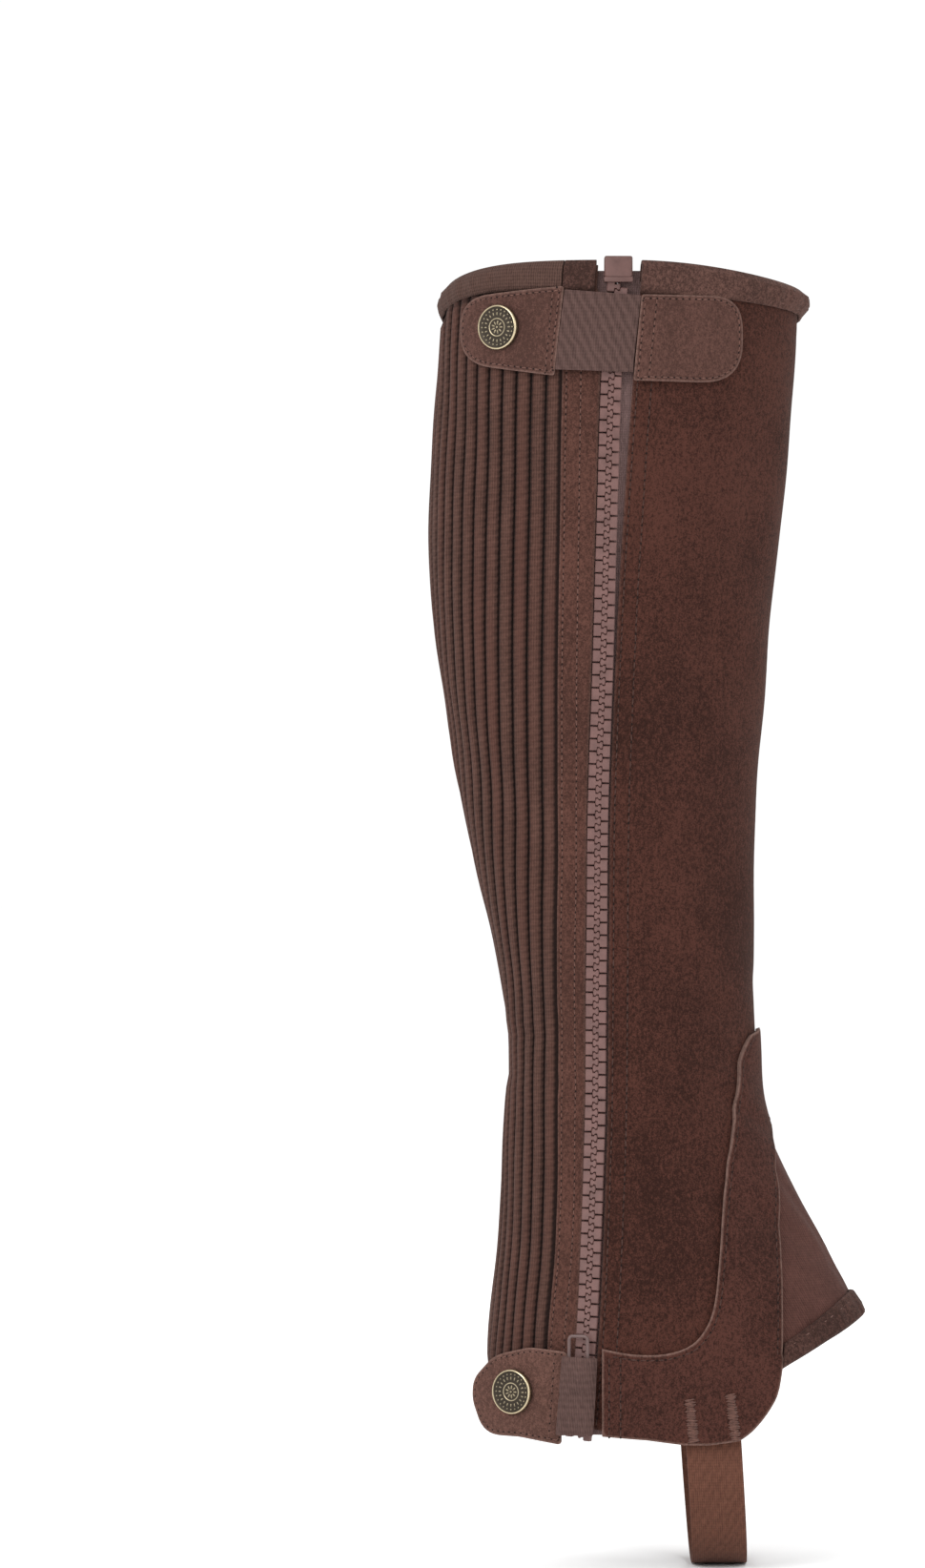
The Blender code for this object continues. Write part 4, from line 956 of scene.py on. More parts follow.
def make_moulded(name, colour, rough):
    """Moulded plastic, slightly uneven in gloss."""
    material, tree, shader = new_material(name, rough)
    shader.inputs["Specular IOR Level"].default_value = 0.35
    place = place_nodes(tree)
    cloud = noise(tree, place, 260.0, 3.0, 0.6)
    grain = noise(tree, place, 1600.0, 2.0, 0.6)
    base = blend(tree, ramp(tree, cloud, 0, 1, 0.3, 0.7), shade(colour, 0.82), shade(colour, 1.16))
    feed(tree, shader.inputs["Base Color"], base)
    feed(tree, shader.inputs["Roughness"], ramp(tree, cloud, rough - 0.1, rough + 0.12, 0.3, 0.7))
    relief(tree, shader, sum_of(tree, (grain, 0.5), (cloud, 0.6)), 0.08, 0.5)
    return material


teeth_plastic = make_moulded("teeth_plastic", (0.126, 0.064, 0.057), 0.45)
box_plastic = make_moulded("box_plastic", (0.096, 0.047, 0.041), 0.42)
slider_paint = make_moulded("slider_paint", (0.112, 0.069, 0.064), 0.38)


def make_brass(name, bright, dark):
    """Aged brass: bright where it is rubbed, dark olive in the low field."""
    material, tree, shader = new_material(name, 0.3, metallic=1.0)
    place = place_nodes(tree)
    cloud = noise(tree, place, 600.0, 3.0, 0.6)
    rubbed = own_value(tree, "rubbed")
    factor = ramp(tree, sum_of(tree, (rubbed, 1.0), (cloud, 0.35), -0.17), 0.0, 1.0, 0.1, 0.9)
    feed(tree, shader.inputs["Base Color"], blend(tree, factor, dark, bright))
    feed(tree, shader.inputs["Roughness"], ramp(tree, factor, 0.48, 0.20))
    relief(tree, shader, cloud, 0.05, 0.4)
    return material


brass = make_brass("aged_brass", (0.60, 0.50, 0.33), (0.046, 0.038, 0.030))
print("finishes:", len(bpy.data.materials))


# %% [markdown]
# ## One tree for all that repeats: stitches, needle holes, zip teeth
# A sewing machine and a zip mould do the same thing: they set one small form again and again
# along a line. A Geometry Nodes tree does that here. The guide is a line of points that also
# carries the direction in which the cloth faces. The tree cuts it in equal steps, sets a copy of
# a small form on each and turns it to the line. The end realises the copies into a plain mesh.

# %% The tree
def make_repeat_tree():
    tree = bpy.data.node_groups.new("Repeat along guide", "GeometryNodeTree")
    for socket, kind in (
        ("Geometry", "Geometry"), ("Form", "Object"), ("Pitch", "Float"),
        ("Uneven size", "Float"), ("Uneven turn", "Float"), ("Material", "Material"),
    ):
        tree.interface.new_socket(socket, in_out="INPUT", socket_type="NodeSocket" + kind)
    tree.interface.new_socket("Geometry", in_out="OUTPUT", socket_type="NodeSocketGeometry")
    add = tree.nodes.new
    given, result = add("NodeGroupInput"), add("NodeGroupOutput")
    curve = add("GeometryNodeMeshToCurve")
    cut = add("GeometryNodeResampleCurve")
    cut.mode = "LENGTH"
    tangent = add("GeometryNodeInputTangent")
    facing = add("GeometryNodeInputNamedAttribute")
    facing.data_type = "FLOAT_VECTOR"
    facing.inputs["Name"].default_value = "facing"
    axes = add("FunctionNodeAxesToRotation")
    axes.primary_axis, axes.secondary_axis = "X", "Z"
    form = add("GeometryNodeObjectInfo")
    form.inputs["As Instance"].default_value = True
    copies = add("GeometryNodeInstanceOnPoints")
    swing = add("FunctionNodeRandomValue")
    swing.data_type = "FLOAT"
    swing.inputs["Seed"].default_value = 4
    turn = add("FunctionNodeAxisAngleToRotation")
    turn.inputs["Axis"].default_value = (0, 0, 1)
    turned = add("FunctionNodeRotateRotation")
    turned.rotation_space = "LOCAL"
    size = add("FunctionNodeRandomValue")
    size.data_type = "FLOAT"
    size.inputs["Seed"].default_value = 9
    negative = add("ShaderNodeMath")
    negative.operation = "MULTIPLY"
    negative.inputs[1].default_value = -1.0
    small, large = add("ShaderNodeMath"), add("ShaderNodeMath")
    small.operation, large.operation = "SUBTRACT", "ADD"
    small.inputs[0].default_value = large.inputs[0].default_value = 1.0
    real, smooth_faces = add("GeometryNodeRealizeInstances"), add("GeometryNodeSetShadeSmooth")
    paint = add("GeometryNodeSetMaterial")
    for source, output, target, socket in (
        (given, "Geometry", curve, "Mesh"), (curve, "Curve", cut, "Curve"),
        (given, "Pitch", cut, "Length"), (cut, "Curve", copies, "Points"),
        (given, "Form", form, "Object"), (form, "Geometry", copies, "Instance"),
        (tangent, 0, axes, "Primary Axis"), (facing, "Attribute", axes, "Secondary Axis"),
        (given, "Uneven turn", negative, 0), (negative, 0, swing, 2),
        (given, "Uneven turn", swing, 3), (swing, 1, turn, "Angle"),
        (axes, 0, turned, "Rotation"), (turn, 0, turned, "Rotate By"),
        (turned, 0, copies, "Rotation"), (given, "Uneven size", small, 1),
        (given, "Uneven size", large, 1), (small, 0, size, 2), (large, 0, size, 3),
        (size, 1, copies, "Scale"), (copies, 0, real, 0), (real, 0, smooth_faces, "Geometry"),
        (smooth_faces, 0, paint, "Geometry"), (given, "Material", paint, "Material"),
        (paint, 0, result, 0),
    ):
        tree.links.new(source.outputs[output], target.inputs[socket])
    return tree


REPEAT = make_repeat_tree()


def repeat_along(name, guides, form, pitch, material, uneven=0.0, turn=0.0, sharp=40):
    """Set copies of a form along guides, each (points, facings, closed), as one plain mesh."""
    points, normals, edges = [], [], []
    for path, facing, closed in guides:
        first = len(points)
        points += path.tolist()
        normals += facing.tolist()
        edges += [(i, i + 1) for i in range(first, len(points) - 1)]
        if closed:
            edges.append((len(points) - 1, first))
    mesh = bpy.data.meshes.new(name)
    mesh.from_pydata((np.array(points) * MM).tolist(), edges, [])
    facing = mesh.attributes.new("facing", "FLOAT_VECTOR", "POINT")
    facing.data.foreach_set("vector", np.array(normals, np.float32).ravel())
    item = bpy.data.objects.new(name, mesh)
    bpy.context.scene.collection.objects.link(item)
    modifier = item.modifiers.new("Repeat", "NODES")
    modifier.node_group = REPEAT
    sockets = {s.name: s.identifier for s in REPEAT.interface.items_tree if s.in_out == "INPUT"}
    modifier[sockets["Form"]] = form
    modifier[sockets["Pitch"]] = pitch * MM
    modifier[sockets["Uneven size"]] = uneven
    modifier[sockets["Uneven turn"]] = radians(turn)
    modifier[sockets["Material"]] = material
    finished(item, sharp)
    left_over = item.data.attributes.get("facing")
    if left_over:
        item.data.attributes.remove(left_over)
    print(f"{name}: {len(item.data.polygons)} faces")
    return item


# %% Forms that are repeated
def form_from(name, points, faces):
    item = from_arrays(name, points, faces, thread_light)
    item.hide_render = True
    return item


def bead_form(name, long, wide, high, around_it=6, rings=3, ahead=0.0):
    """A small closed bead, long in X and raised in Z, moved ahead by a distance."""
    points, faces = [(-long / 2, 0.0, 0.0)], []
    for i in range(1, rings + 1):
        turn = pi * i / (rings + 1)
        for k in range(around_it):
            spin = 2 * pi * k / around_it
            points.append((
                -cos(turn) * long / 2,
                sin(turn) * cos(spin) * wide / 2,
                sin(turn) * sin(spin) * high / 2,
            ))
    points.append((long / 2, 0.0, 0.0))
    last = len(points) - 1
    points = [(x + ahead, y, z) for x, y, z in points]
    for k in range(around_it):
        n = (k + 1) % around_it
        faces.append((0, 1 + n, 1 + k))
        for i in range(rings - 1):
            a, b = 1 + i * around_it, 1 + (i + 1) * around_it
            faces.append((a + k, a + n, b + n, b + k))
        start = 1 + (rings - 1) * around_it
        faces.append((start + k, start + n, last))
    return form_from(name, points, faces)


stitch_form = bead_form("stitch_form", 2.1, 0.46, 0.56)
short_stitch_form = bead_form("short_stitch_form", 1.6, 0.42, 0.50)
bar_form = bead_form("bar_form", 0.6, 3.7, 0.8, 8, 3)
LONG_STEP, SHORT_STEP = 3.0, 2.3
# dark beads half a step ahead of each stitch, for the painted shade in the needle holes
long_hole = bead_form("long_hole", 0.85, 0.70, 0.20, 6, 2, LONG_STEP / 2)
short_hole = bead_form("short_hole", 0.72, 0.64, 0.20, 6, 2, SHORT_STEP / 2)
print("forms ready")


# %% [markdown]
# ## The outer and the inner leg panel
# The outer panel is suede, from the zip's edge round to the shin. Two rows of stitches hold the
# zip's tape under its edge. The inner panel is a plain stretch fabric, from the shin back to the
# suede strip. Both are drawn as patterns and sewn with the same helper.

# %% Outer panel
def flat(points):
    """Angle and height to the flat layout."""
    points = np.asarray(points, float)
    return np.column_stack((points[:, 0] * FLAT, points[:, 1]))


def shifted(line, distance):
    """A seam line moved round the leg by a distance."""
    return lambda z: around(line(z), z, distance)


def on_side(x, z, out, angle_of=outer_angle):
    """The flat layout of places given in the side view, by x and height."""
    return flat(np.column_stack((angle_of(x, z, out), z)))


def between(left, right):
    """Outline of a panel between two seams, from the hem up to the rim."""
    return joined(
        flat(left[::-1]), flat(edge(hem, left[0][0], right[0][0])), flat(right),
        flat(edge(panel_top, right[-1][0], left[-1][0])),
    )


def sewing_rows(lines, low, high):
    """Rows of stitches beside seams: lines are (seam line, distance from it)."""
    return [(flat(seam(shifted(line, distance), low, high)), False) for line, distance in lines]


def make_outer_panel():
    low, top = hem(panel_edge(HEM_Z)), panel_top(panel_edge(RIM_MIDDLE))
    front = float(hem(180 - gusset_seam(HEM_Z)))
    front_line = seam(lambda z: 180 - gusset_seam(z), front, panel_top(180.0), -SEWN_GAP)
    outline = between(seam(panel_edge, low, top, SEAM_GAP / 2), front_line)
    rows = sewing_rows(((panel_edge, 1.7), (panel_edge, 6.5)), low + 2, top - 7)
    sew("long", rows, 0.0, 0.12)
    return cloth("outer_panel_cloth", outline, suede_panel, SUEDE, lines=rows)


outer_panel = make_outer_panel()


# %% Inner panel
def make_inner_panel():
    front = float(hem(180 + gusset_seam(HEM_Z)))
    shin = seam(lambda z: 180 + gusset_seam(z), front, panel_top(180.0), SEWN_GAP)
    back = 360 + float(strip_front(HEM_Z))
    back_line = seam(
        lambda z: 360 + strip_front(z), hem(back), panel_top(360 + strip_front(RIM_MIDDLE)),
        -SEWN_GAP / 2,
    )
    return cloth("inner_panel_cloth", between(shin, back_line), stretch_cloth, STRETCH)


inner_panel = make_inner_panel()

# %% [markdown]
# ## Suede strips, the teardrop patch and the zip's tapes
# A narrow suede strip runs up each side of the rib panel. The teardrop patch on the inner calf
# is where the rider grips. It lies on the panel and shows a pale raw edge with two rows of
# stitches inside it. The zip's two tapes lie under the cloth edges.

# %% Strips
def strip_outline(left, right):
    top_left, top_right = panel_top(left(RIM_MIDDLE)), panel_top(right(RIM_MIDDLE))
    left_line = seam(left, hem(left(HEM_Z)), top_left, SEWN_GAP / 2)
    right_line = seam(right, hem(right(HEM_Z)), top_right, -SEWN_GAP / 2)
    return between(left_line, right_line)


inner_strip_rows = sewing_rows(
    ((strip_front, 1.6), (strip_front, 3.6), (strip_back, -1.6)), HEM_Z + 14, RIM_MIDDLE - 12
)
inner_strip = cloth(
    "inner_strip_cloth", strip_outline(strip_front, strip_back), suede_panel, SUEDE,
    lines=inner_strip_rows,
)
sew("short", inner_strip_rows, 0.0, 0.1)

CHAIN_HALF = 3.5
# the strip draws back beside the zip's box, by this much between these two heights
BOX_CLEAR = 3.0
BOX_CLEAR_Z = (74.0, 80.0)


def zip_strip_front(z):
    low, high = BOX_CLEAR_Z
    opening = BOX_CLEAR * np.clip((z - low) / (high - low), 0, 1)
    return around(zip_middle(z), z, -CHAIN_HALF - SEAM_GAP - opening)


zip_strip_rows = sewing_rows(((zip_strip_back, 1.5), (zip_strip_back, 6.4)), -292.0, 72.0)
zip_strip = cloth(
    "zip_strip_cloth", strip_outline(zip_strip_back, zip_strip_front), suede_strip, SUEDE,
    spacing=2.0, lines=zip_strip_rows,
)
sew("short", zip_strip_rows, 0.0, 0.06)

# %% Teardrop patch
# (height, back x, front x)
PATCH = (
    (32, -14.5, 29.0), (22, -27.0, 42.5), (8, -33.5, 50.0), (-15, -33.3, 52.3),
    (-54, -29.0, 48.3), (-92, -23.0, 37.6), (-130, -14.8, 28.0), (-170, -5.4, 25.9),
    (-195, 2.8, 26.6), (-206, 8.2, 24.0),
)
PATCH_TOP = (6.5, 36.2)
PATCH_BOTTOM = (16.2, -211.2)


def make_patch():
    rows = sorted(PATCH)
    corners = [PATCH_BOTTOM, *((front, z) for z, _, front in rows), PATCH_TOP]
    corners += [(back, z) for z, back, _ in reversed(rows)]
    path = smooth_path(corners, 8, closed=True)
    outline = joined(on_side(*path.T, OVER, inner_angle))
    dense = divided(outline, OUTLINE_STEP, True, leg_scale)
    rows = [(moved_in(dense, distance, leg_scale), True) for distance in (1.6, 3.8)]
    sew("short", rows, OVER, 0.1)
    return cloth("inner_patch_cloth", outline, suede_patch, SUEDE, OVER, lines=rows)


inner_patch = make_patch()

# %% Zip tapes
TAPE = 0.8
TAPE_WIDTH = 15.0
TAPE_GAP = 0.03
TAPE_TOP = 86.4
TAPE_UNDER_RIM = 83.6
TAPE_LOW = -301.5
# each tape stands above the rim only between the zip and this x
TAPE_TONGUE = (-5.2, 9.6)
TAPE_OUT = -STRETCH - SEAM_GAP


def beside_zip(distance):
    return lambda z: around(zip_middle(z), z, distance)


def make_tape(name, side):
    near = seam(beside_zip(side * TAPE_GAP), TAPE_LOW, TAPE_TOP)
    far = seam(beside_zip(side * TAPE_WIDTH), TAPE_LOW, TAPE_UNDER_RIM)
    step = float(outer_angle(TAPE_TONGUE[0 if side < 0 else 1], TAPE_TOP))
    tongue = np.array([(step, TAPE_TOP), (step, TAPE_UNDER_RIM)])
    outline = joined(flat(near), flat(tongue), flat(far[::-1]))
    return cloth(name, outline, tape_cloth, TAPE, TAPE_OUT, spacing=2.0, rounding=0.1)


tape_back = make_tape("tape_back_cloth", -1)
tape_front = make_tape("tape_front_cloth", 1)


# %% [markdown]
# ## The rib panel
# The padded rib knit lets the chap stretch round the calf. Each rib is a soft tube, 5.2 mm wide,
# with a narrow groove between two. The height of the surface is a rule of the distance from the
# zip's seam, so this panel is laid out in distance and height, with columns closer together in
# the grooves.

# %% Rib panel
RIB_PITCH = 5.2
RIB_HEIGHT = 1.5
RIB_VALLEY = -0.3
RIB_BACKING = 1.2
RIB_RUNOUT = 1.8
RIB_SEWN = 1.3
RIB_COUNT = 20
RIB_SPAN = (-286.0, 78.0)
HEM_BAND = 8.4
# the layout is drawn this much wider than it is, so that the narrow columns make neat triangles
RIB_LAYOUT = 8.0
# the columns' places as parts of a rib, and the distance between rows
RIB_COLUMNS = (0.0, 0.045, 0.10, 0.18, 0.30, 0.50, 0.70, 0.82, 0.90, 0.955)
RIB_ROW = 4.5
# (size, change across in radians a mm, change up the leg)
RIB_WAVES = ((0.10, 0.9, 0.045), (0.06, 2.3, -0.11))


def rib_angle(distance, z):
    return around(zip_strip_back(z), z, -distance)


def rib_width(z):
    return girth(strip_back(z), zip_strip_back(z), z)


def rib_end(distance, line, start):
    """Height of the hem's or rim's line at a distance from the zip's seam."""
    z = np.full(np.shape(distance), start)
    for _ in range(4):
        z = line(rib_angle(distance, z))
    return z


def rib_top(distance):
    return rib_end(distance, panel_top, RIM_MIDDLE)


def rib_low(distance):
    return rib_end(distance, hem, HEM_Z)


def rib_crest(distance, z):
    """How high the rib stands here, from 0 in a groove to 1 on its crest."""
    part = np.abs((distance / RIB_PITCH) % 1.0 * 2 - 1)
    tube = np.clip(1 - part ** 2.2, 0, 1) ** 0.6
    angle = rib_angle(distance, z)
    top, low = rim(angle) - rim_drop(angle) - 0.2, hem(angle) + HEM_BAND - 1.0
    runout = ease((top - z) / RIB_RUNOUT) * ease((z - low) / RIB_RUNOUT)
    sewn_flat = ease(np.minimum(distance, rib_width(z) - distance) / RIB_SEWN)
    return tube * np.clip(runout, 0, 1) * sewn_flat


# %% Lay the ribs out and raise them
def rib_layout():
    """The rib panel's flat outline and the points inside it, and its width at the top."""
    gap = SEWN_GAP / 2
    top_width, low_width = float(rib_width(RIM_MIDDLE)) - gap, float(rib_width(HEM_Z)) - gap
    heights = np.arange(*RIB_SPAN, RIB_ROW)
    columns = [(k + part) * RIB_PITCH for k in range(RIB_COUNT) for part in RIB_COLUMNS]
    columns = np.array([s for s in columns if s > gap + 0.3])
    top_s = np.array([gap, *[s for s in columns if s < top_width - 0.3], top_width])
    low_s = np.array([gap, *[s for s in columns if s < low_width - 0.3], low_width])

    def side(distance, low_distance, top_distance):
        clear = (heights > rib_low(low_distance) + 2) & (heights < rib_top(top_distance) - 2)
        return np.column_stack((distance + 0 * heights, heights))[clear]

    outline = np.concatenate((
        side(gap, gap, gap), np.column_stack((top_s, rib_top(top_s))),
        side(rib_width(heights) - gap, low_width, top_width)[::-1],
        np.column_stack((low_s, rib_low(low_s)))[::-1],
    ))
    outline = joined(outline * np.array([-RIB_LAYOUT, 1.0]))
    s, z = np.meshgrid(columns, heights)
    grid = np.column_stack((s.ravel() * -RIB_LAYOUT, z.ravel()))
    grid = grid[within(grid, outline)]
    inside = rib_width(grid[:, 1]) - gap + grid[:, 0] / RIB_LAYOUT > 0.3
    lowest, highest = (f(-grid[:, 0] / RIB_LAYOUT) for f in (rib_low, rib_top))
    grid = grid[inside & (grid[:, 1] > lowest + 1.6) & (grid[:, 1] < highest - 1.6)]
    return outline, grid, top_width


def make_rib_panel():
    outline, grid, top_width = rib_layout()
    places, faces = triangles(outline, grid)
    s, z = -places[:, 0] / RIB_LAYOUT, places[:, 1]
    crest = rib_crest(s, z)
    uneven = sum(size * np.sin(s * a + z * b) for size, a, b in RIB_WAVES)
    out = RIB_VALLEY + crest * (RIB_HEIGHT + uneven * crest)
    item = from_arrays("rib_panel_cloth", spot(rib_angle(s, z), z, out), faces, rib_cloth)
    set_attribute(item, "crest", crest)
    set_uv(item, s * MM, z * MM)
    thicken(item, RIB_BACKING)
    print("rib panel:", len(item.data.polygons), "faces,", round(top_width), "mm wide at the top")
    return item


rib_panel = make_rib_panel()

# %% [markdown]
# ## Bindings of the rim, the hem and the toe
# A binding is a strip of suede or knit folded over a raw edge. Its section is a narrow hook with
# rounded folds. It is swept along the edge in small steps, a little uneven, because a binding
# always puckers between its stitches.

# %% Sweep a binding
BINDING = 1.3
RIM_INSIDE = 7.5
BAND_GAP = 0.2
SECTION_STEPS = 3
GROOVE_DEPTH = 0.30
# (degrees from one wave to the next, phase, size)
PUCKERS = ((7.7, 0.5, 0.16), (12.3, 2.0, 0.112), (4.1, 1.1, 0.128))
# a binding has no raw edge, so its distance from one is large
FAR_FROM_EDGE = 5.0


def rounded_section(corners, radius=0.55):
    """The section's corners (out, height) rounded off."""
    return np.array(rounded([(a, b, radius) for a, b in corners], SECTION_STEPS))


def pucker(angle):
    """Small unevenness along a binding."""
    return sum(size * np.sin(angle / every * 2 * pi + phase) for every, phase, size in PUCKERS)


def band(name, angles, heights, profile, material, groove, lean=0.0):
    """Sweep profile(angle), an array of (out, rise), along the places of an edge.

    groove(angle) is the rise at which a row of stitches pulls the outer face in. lean moves
    what is higher towards the shin.
    """
    rings, uvs = [], []
    length = 0.0
    for i, (angle, z) in enumerate(zip(angles, heights)):
        shape = np.array(profile(angle))
        out, rise = shape[:, 0].copy(), shape[:, 1]
        outer = out > 0
        out[outer] -= GROOVE_DEPTH * np.exp(-((rise[outer] - groove(angle)) / 0.7) ** 2)
        out[outer] += pucker(angle) * (np.abs(rise[outer]) > 0.5)
        places = spot(angle + lean * (180 - angle) * rise, z + rise, out)
        if i:
            length += float(np.linalg.norm(places[0] - rings[-1][0]))
        rings.append(places)
        round_section = np.concatenate(([0.0], np.cumsum(np.hypot(*np.diff(shape, axis=0).T))))
        uvs.append(np.column_stack((np.full(len(shape), length), round_section)))
    size = (len(rings), len(rings[0]))
    faces = ring_faces(*size) + end_faces(*size)
    item = from_arrays(name, np.concatenate(rings), faces, material)
    coordinates = np.concatenate(uvs) * MM
    set_uv(item, coordinates[:, 0], coordinates[:, 1])
    set_attribute(item, "edge", np.full(len(item.data.vertices), FAR_FROM_EDGE))
    turn_outwards(item)
    finished(item, 60)
    girth_of_section = float(round_section[-1]) / 2
    print(f"{name}: {length:.0f} mm long, {girth_of_section:.1f} mm round half its section")
    return item


# %% Rim
RIM_ZIP_GAP = (-5.4, 9.8)
# how far the roll stands out, and how much more at the shin, over this spread in degrees
RIM_ROLL, RIM_ROLL_SHIN, SHIN_SPREAD = 1.1, 1.2, 28
BAND_STEP = 1.5


def rim_profile(angle):
    """Section of the rim's roll, fuller at the shin."""
    out, into = SEAM_GAP, -STRETCH - SEAM_GAP
    low = -float(rim_drop(angle))
    full = BINDING + RIM_ROLL + RIM_ROLL_SHIN * exp(-((angle - 180) / SHIN_SPREAD) ** 2)
    return rounded_section((
        (out, low), (out + 0.7, low), (out + BINDING + 0.6, low + 1.7),
        (out + full, -RIM_BAND * 0.5), (out + full - 0.3, -1.9), (out + 0.5, 0.15),
        (into - 0.3, -0.1),
        (into - BINDING, -1.4), (into - BINDING, -RIM_INSIDE), (into, -RIM_INSIDE),
        (into, -PANEL_EDGE + SEAM_GAP), (out, -PANEL_EDGE + SEAM_GAP),
    ))


def rim_stitch(angle):
    """Rise of the row of stitches along the rim."""
    return 1.3 - RIM_BAND - 0.45 * (rim_drop(angle) - RIM_BAND)


def rim_band(name, start, end, material):
    angles = np.linspace(start, end, max(4, int((end - start) / BAND_STEP)))
    return band(name, angles, rim(angles), rim_profile, material, rim_stitch)


def edge_guide(kind, start, end, line, rise, out):
    """A row of stitches along a binding."""
    angles = np.linspace(start, end, max(4, int(abs(end - start) / BAND_STEP)))
    path = flat(np.column_stack((angles, line(angles) + rise(angles))))
    sewn_guide(kind, path, on_leg, out)


fold_front, panel_start = (float(outer_angle(x, RIM_MIDDLE + RIM_RISE)) for x in RIM_ZIP_GAP)
fold_back, knit_back = float(zip_strip_back(RIM_MIDDLE)), float(strip_back(RIM_MIDDLE))
rim_binding = rim_band("rim_binding_suede", panel_start, knit_back + 360 - BAND_GAP, suede_rim)
rim_knit = rim_band("rim_binding_knit", knit_back + BAND_GAP, fold_back - BAND_GAP, rim_knit_cloth)
rim_fold = rim_band("rim_fold_suede", fold_back + BAND_GAP, fold_front, suede_binding)
RIM_STITCH_OUT = SEAM_GAP + BINDING - 0.1
edge_guide("short", panel_start + 2, knit_back + 357, rim, rim_stitch, RIM_STITCH_OUT)
edge_guide("dark", knit_back + 2, fold_back - 2, rim, rim_stitch, RIM_STITCH_OUT)

# %% Hem of the inner side
HEM_BAND_FRONT = (48.0, -302.0)
HEM_BAND_END = 358.0
# the binding steps over the guard's edge, from this many mm in front of it, in so many degrees
GUARD_STEP = (2.0, 7.0)
# (x, height) along the guard's edge on the inner side
GUARD_INNER = (
    (50.2, -170.4), (48.6, -178.0), (46.2, -190.0), (43.8, -212.0), (40.2, -235.0),
    (38.4, -257.0), (39.4, -278.0), (41.0, -304.6),
)
heel_near = float(inner_angle(GUARD_INNER[-1][0] - GUARD_STEP[0], GUARD_INNER[-1][1]))
heel_far = heel_near + GUARD_STEP[1]


def hem_profile(angle):
    """Binding of the inner hem; it steps out where the guard lies under it."""
    step = float(np.clip((heel_far - angle) / (heel_far - heel_near), 0, 1))
    out = SEAM_GAP + (SUEDE + OVERLAY_GAP) * step
    low = -SEAM_GAP - BINDING
    return rounded_section((
        (-STRETCH, low), (out + BINDING * 0.7, low), (out + BINDING, low * 0.6),
        (out + BINDING + 0.2, HEM_BAND * 0.5), (out + BINDING, HEM_BAND - BINDING),
        (out, HEM_BAND - BINDING), (out, -SEAM_GAP), (-STRETCH, -SEAM_GAP),
    ), 0.45)


hem_start = float(inner_angle(*HEM_BAND_FRONT))
hem_angles = np.linspace(hem_start, HEM_BAND_END, 110)


def hem_stitch(angle):
    return np.full(np.shape(angle), HEM_BAND - BINDING - 1.2)


hem_binding = band(
    "hem_binding_suede", hem_angles, hem(hem_angles), hem_profile, suede_rim, hem_stitch
)
edge_guide("short", heel_far + 1, HEM_BAND_END - 2, hem, hem_stitch, SEAM_GAP + BINDING - 0.05)

# %% Gusset and its binding
TOE_BAND = 8.5
TOE_STITCH = TOE_BAND - 1.9
# the binding leans to the shin, reaches under the gusset's edge and stops short of the guard
TOE_LEAN = 0.0072
TOE_UNDER = 1.9
TOE_FLOOR = 0.9
TOE_SHORT = 0.6
TOE_STEPS = 80


def toe_corner():
    """Height at which the gusset's seam meets its lower edge."""
    angle = 180 - gusset_seam(TOE_Z)
    for _ in range(12):
        angle = 180 - gusset_seam(toe_hem(angle))
    return float(toe_hem(angle))


def toe_stop(side):
    """Angle at which the toe's binding ends, just short of the guard's notch."""
    angle = 180 - side * notch(TOE_Z)
    for _ in range(12):
        angle = 180 - side * (notch(toe_hem(angle) - TOE_UNDER) - TOE_SHORT)
    return float(angle)


def toe_profile(_):
    out, into = SEAM_GAP, -SUEDE - SEAM_GAP
    return rounded_section((
        (into, TOE_FLOOR), (into, TOE_BAND * 0.8), (into - BINDING, TOE_BAND * 0.8),
        (into - BINDING, 1.0), (into, 0.05), (out + 0.4, 0.05), (out + BINDING + 0.7, 1.5),
        (out + BINDING + 1.0, TOE_BAND * 0.5), (out + BINDING, TOE_BAND), (out, TOE_BAND),
        (out, TOE_FLOOR),
    ), 0.8)


def make_gusset():
    low, tip = toe_corner(), GUSSET_TIP - 1.0
    left_line = seam(lambda z: 180 - gusset_seam(z), low, tip, SEWN_GAP / 2)
    right_line = seam(lambda z: 180 + gusset_seam(z), low, tip, -SEWN_GAP / 2)
    outline = joined(
        flat(left_line[::-1]), flat(edge(toe_hem, left_line[0][0], right_line[0][0])),
        flat(right_line),
    )
    return cloth("gusset_panel_cloth", outline, gusset_fabric, SUEDE)


gusset = make_gusset()
toe_start, toe_end = toe_stop(1), toe_stop(-1)
toe_angles = np.linspace(toe_start, toe_end, TOE_STEPS)
gusset_binding = band(
    "gusset_binding_suede", toe_angles, toe_hem(toe_angles) - TOE_UNDER, toe_profile,
    suede_binding, lambda angle: TOE_STITCH, TOE_LEAN,
)


def toe_guide():
    angles = np.linspace(toe_start + 1, toe_end - 1, TOE_STEPS)
    path = np.column_stack((
        angles + TOE_LEAN * (180 - angles) * TOE_STITCH, toe_hem(angles) - TOE_UNDER + TOE_STITCH,
    ))
    sewn_guide("pale", flat(path), on_leg, SEAM_GAP + BINDING + 0.15)


toe_guide()

# %% [markdown]
# ## The foot guard
# One more layer of suede goes over the instep, with a leg down each side of the foot. Its cut
# edge is left raw, so a pale line shows all along it, with a row of stitches just inside. Two
# short bars of dense stitches hold the strap that goes under the foot.

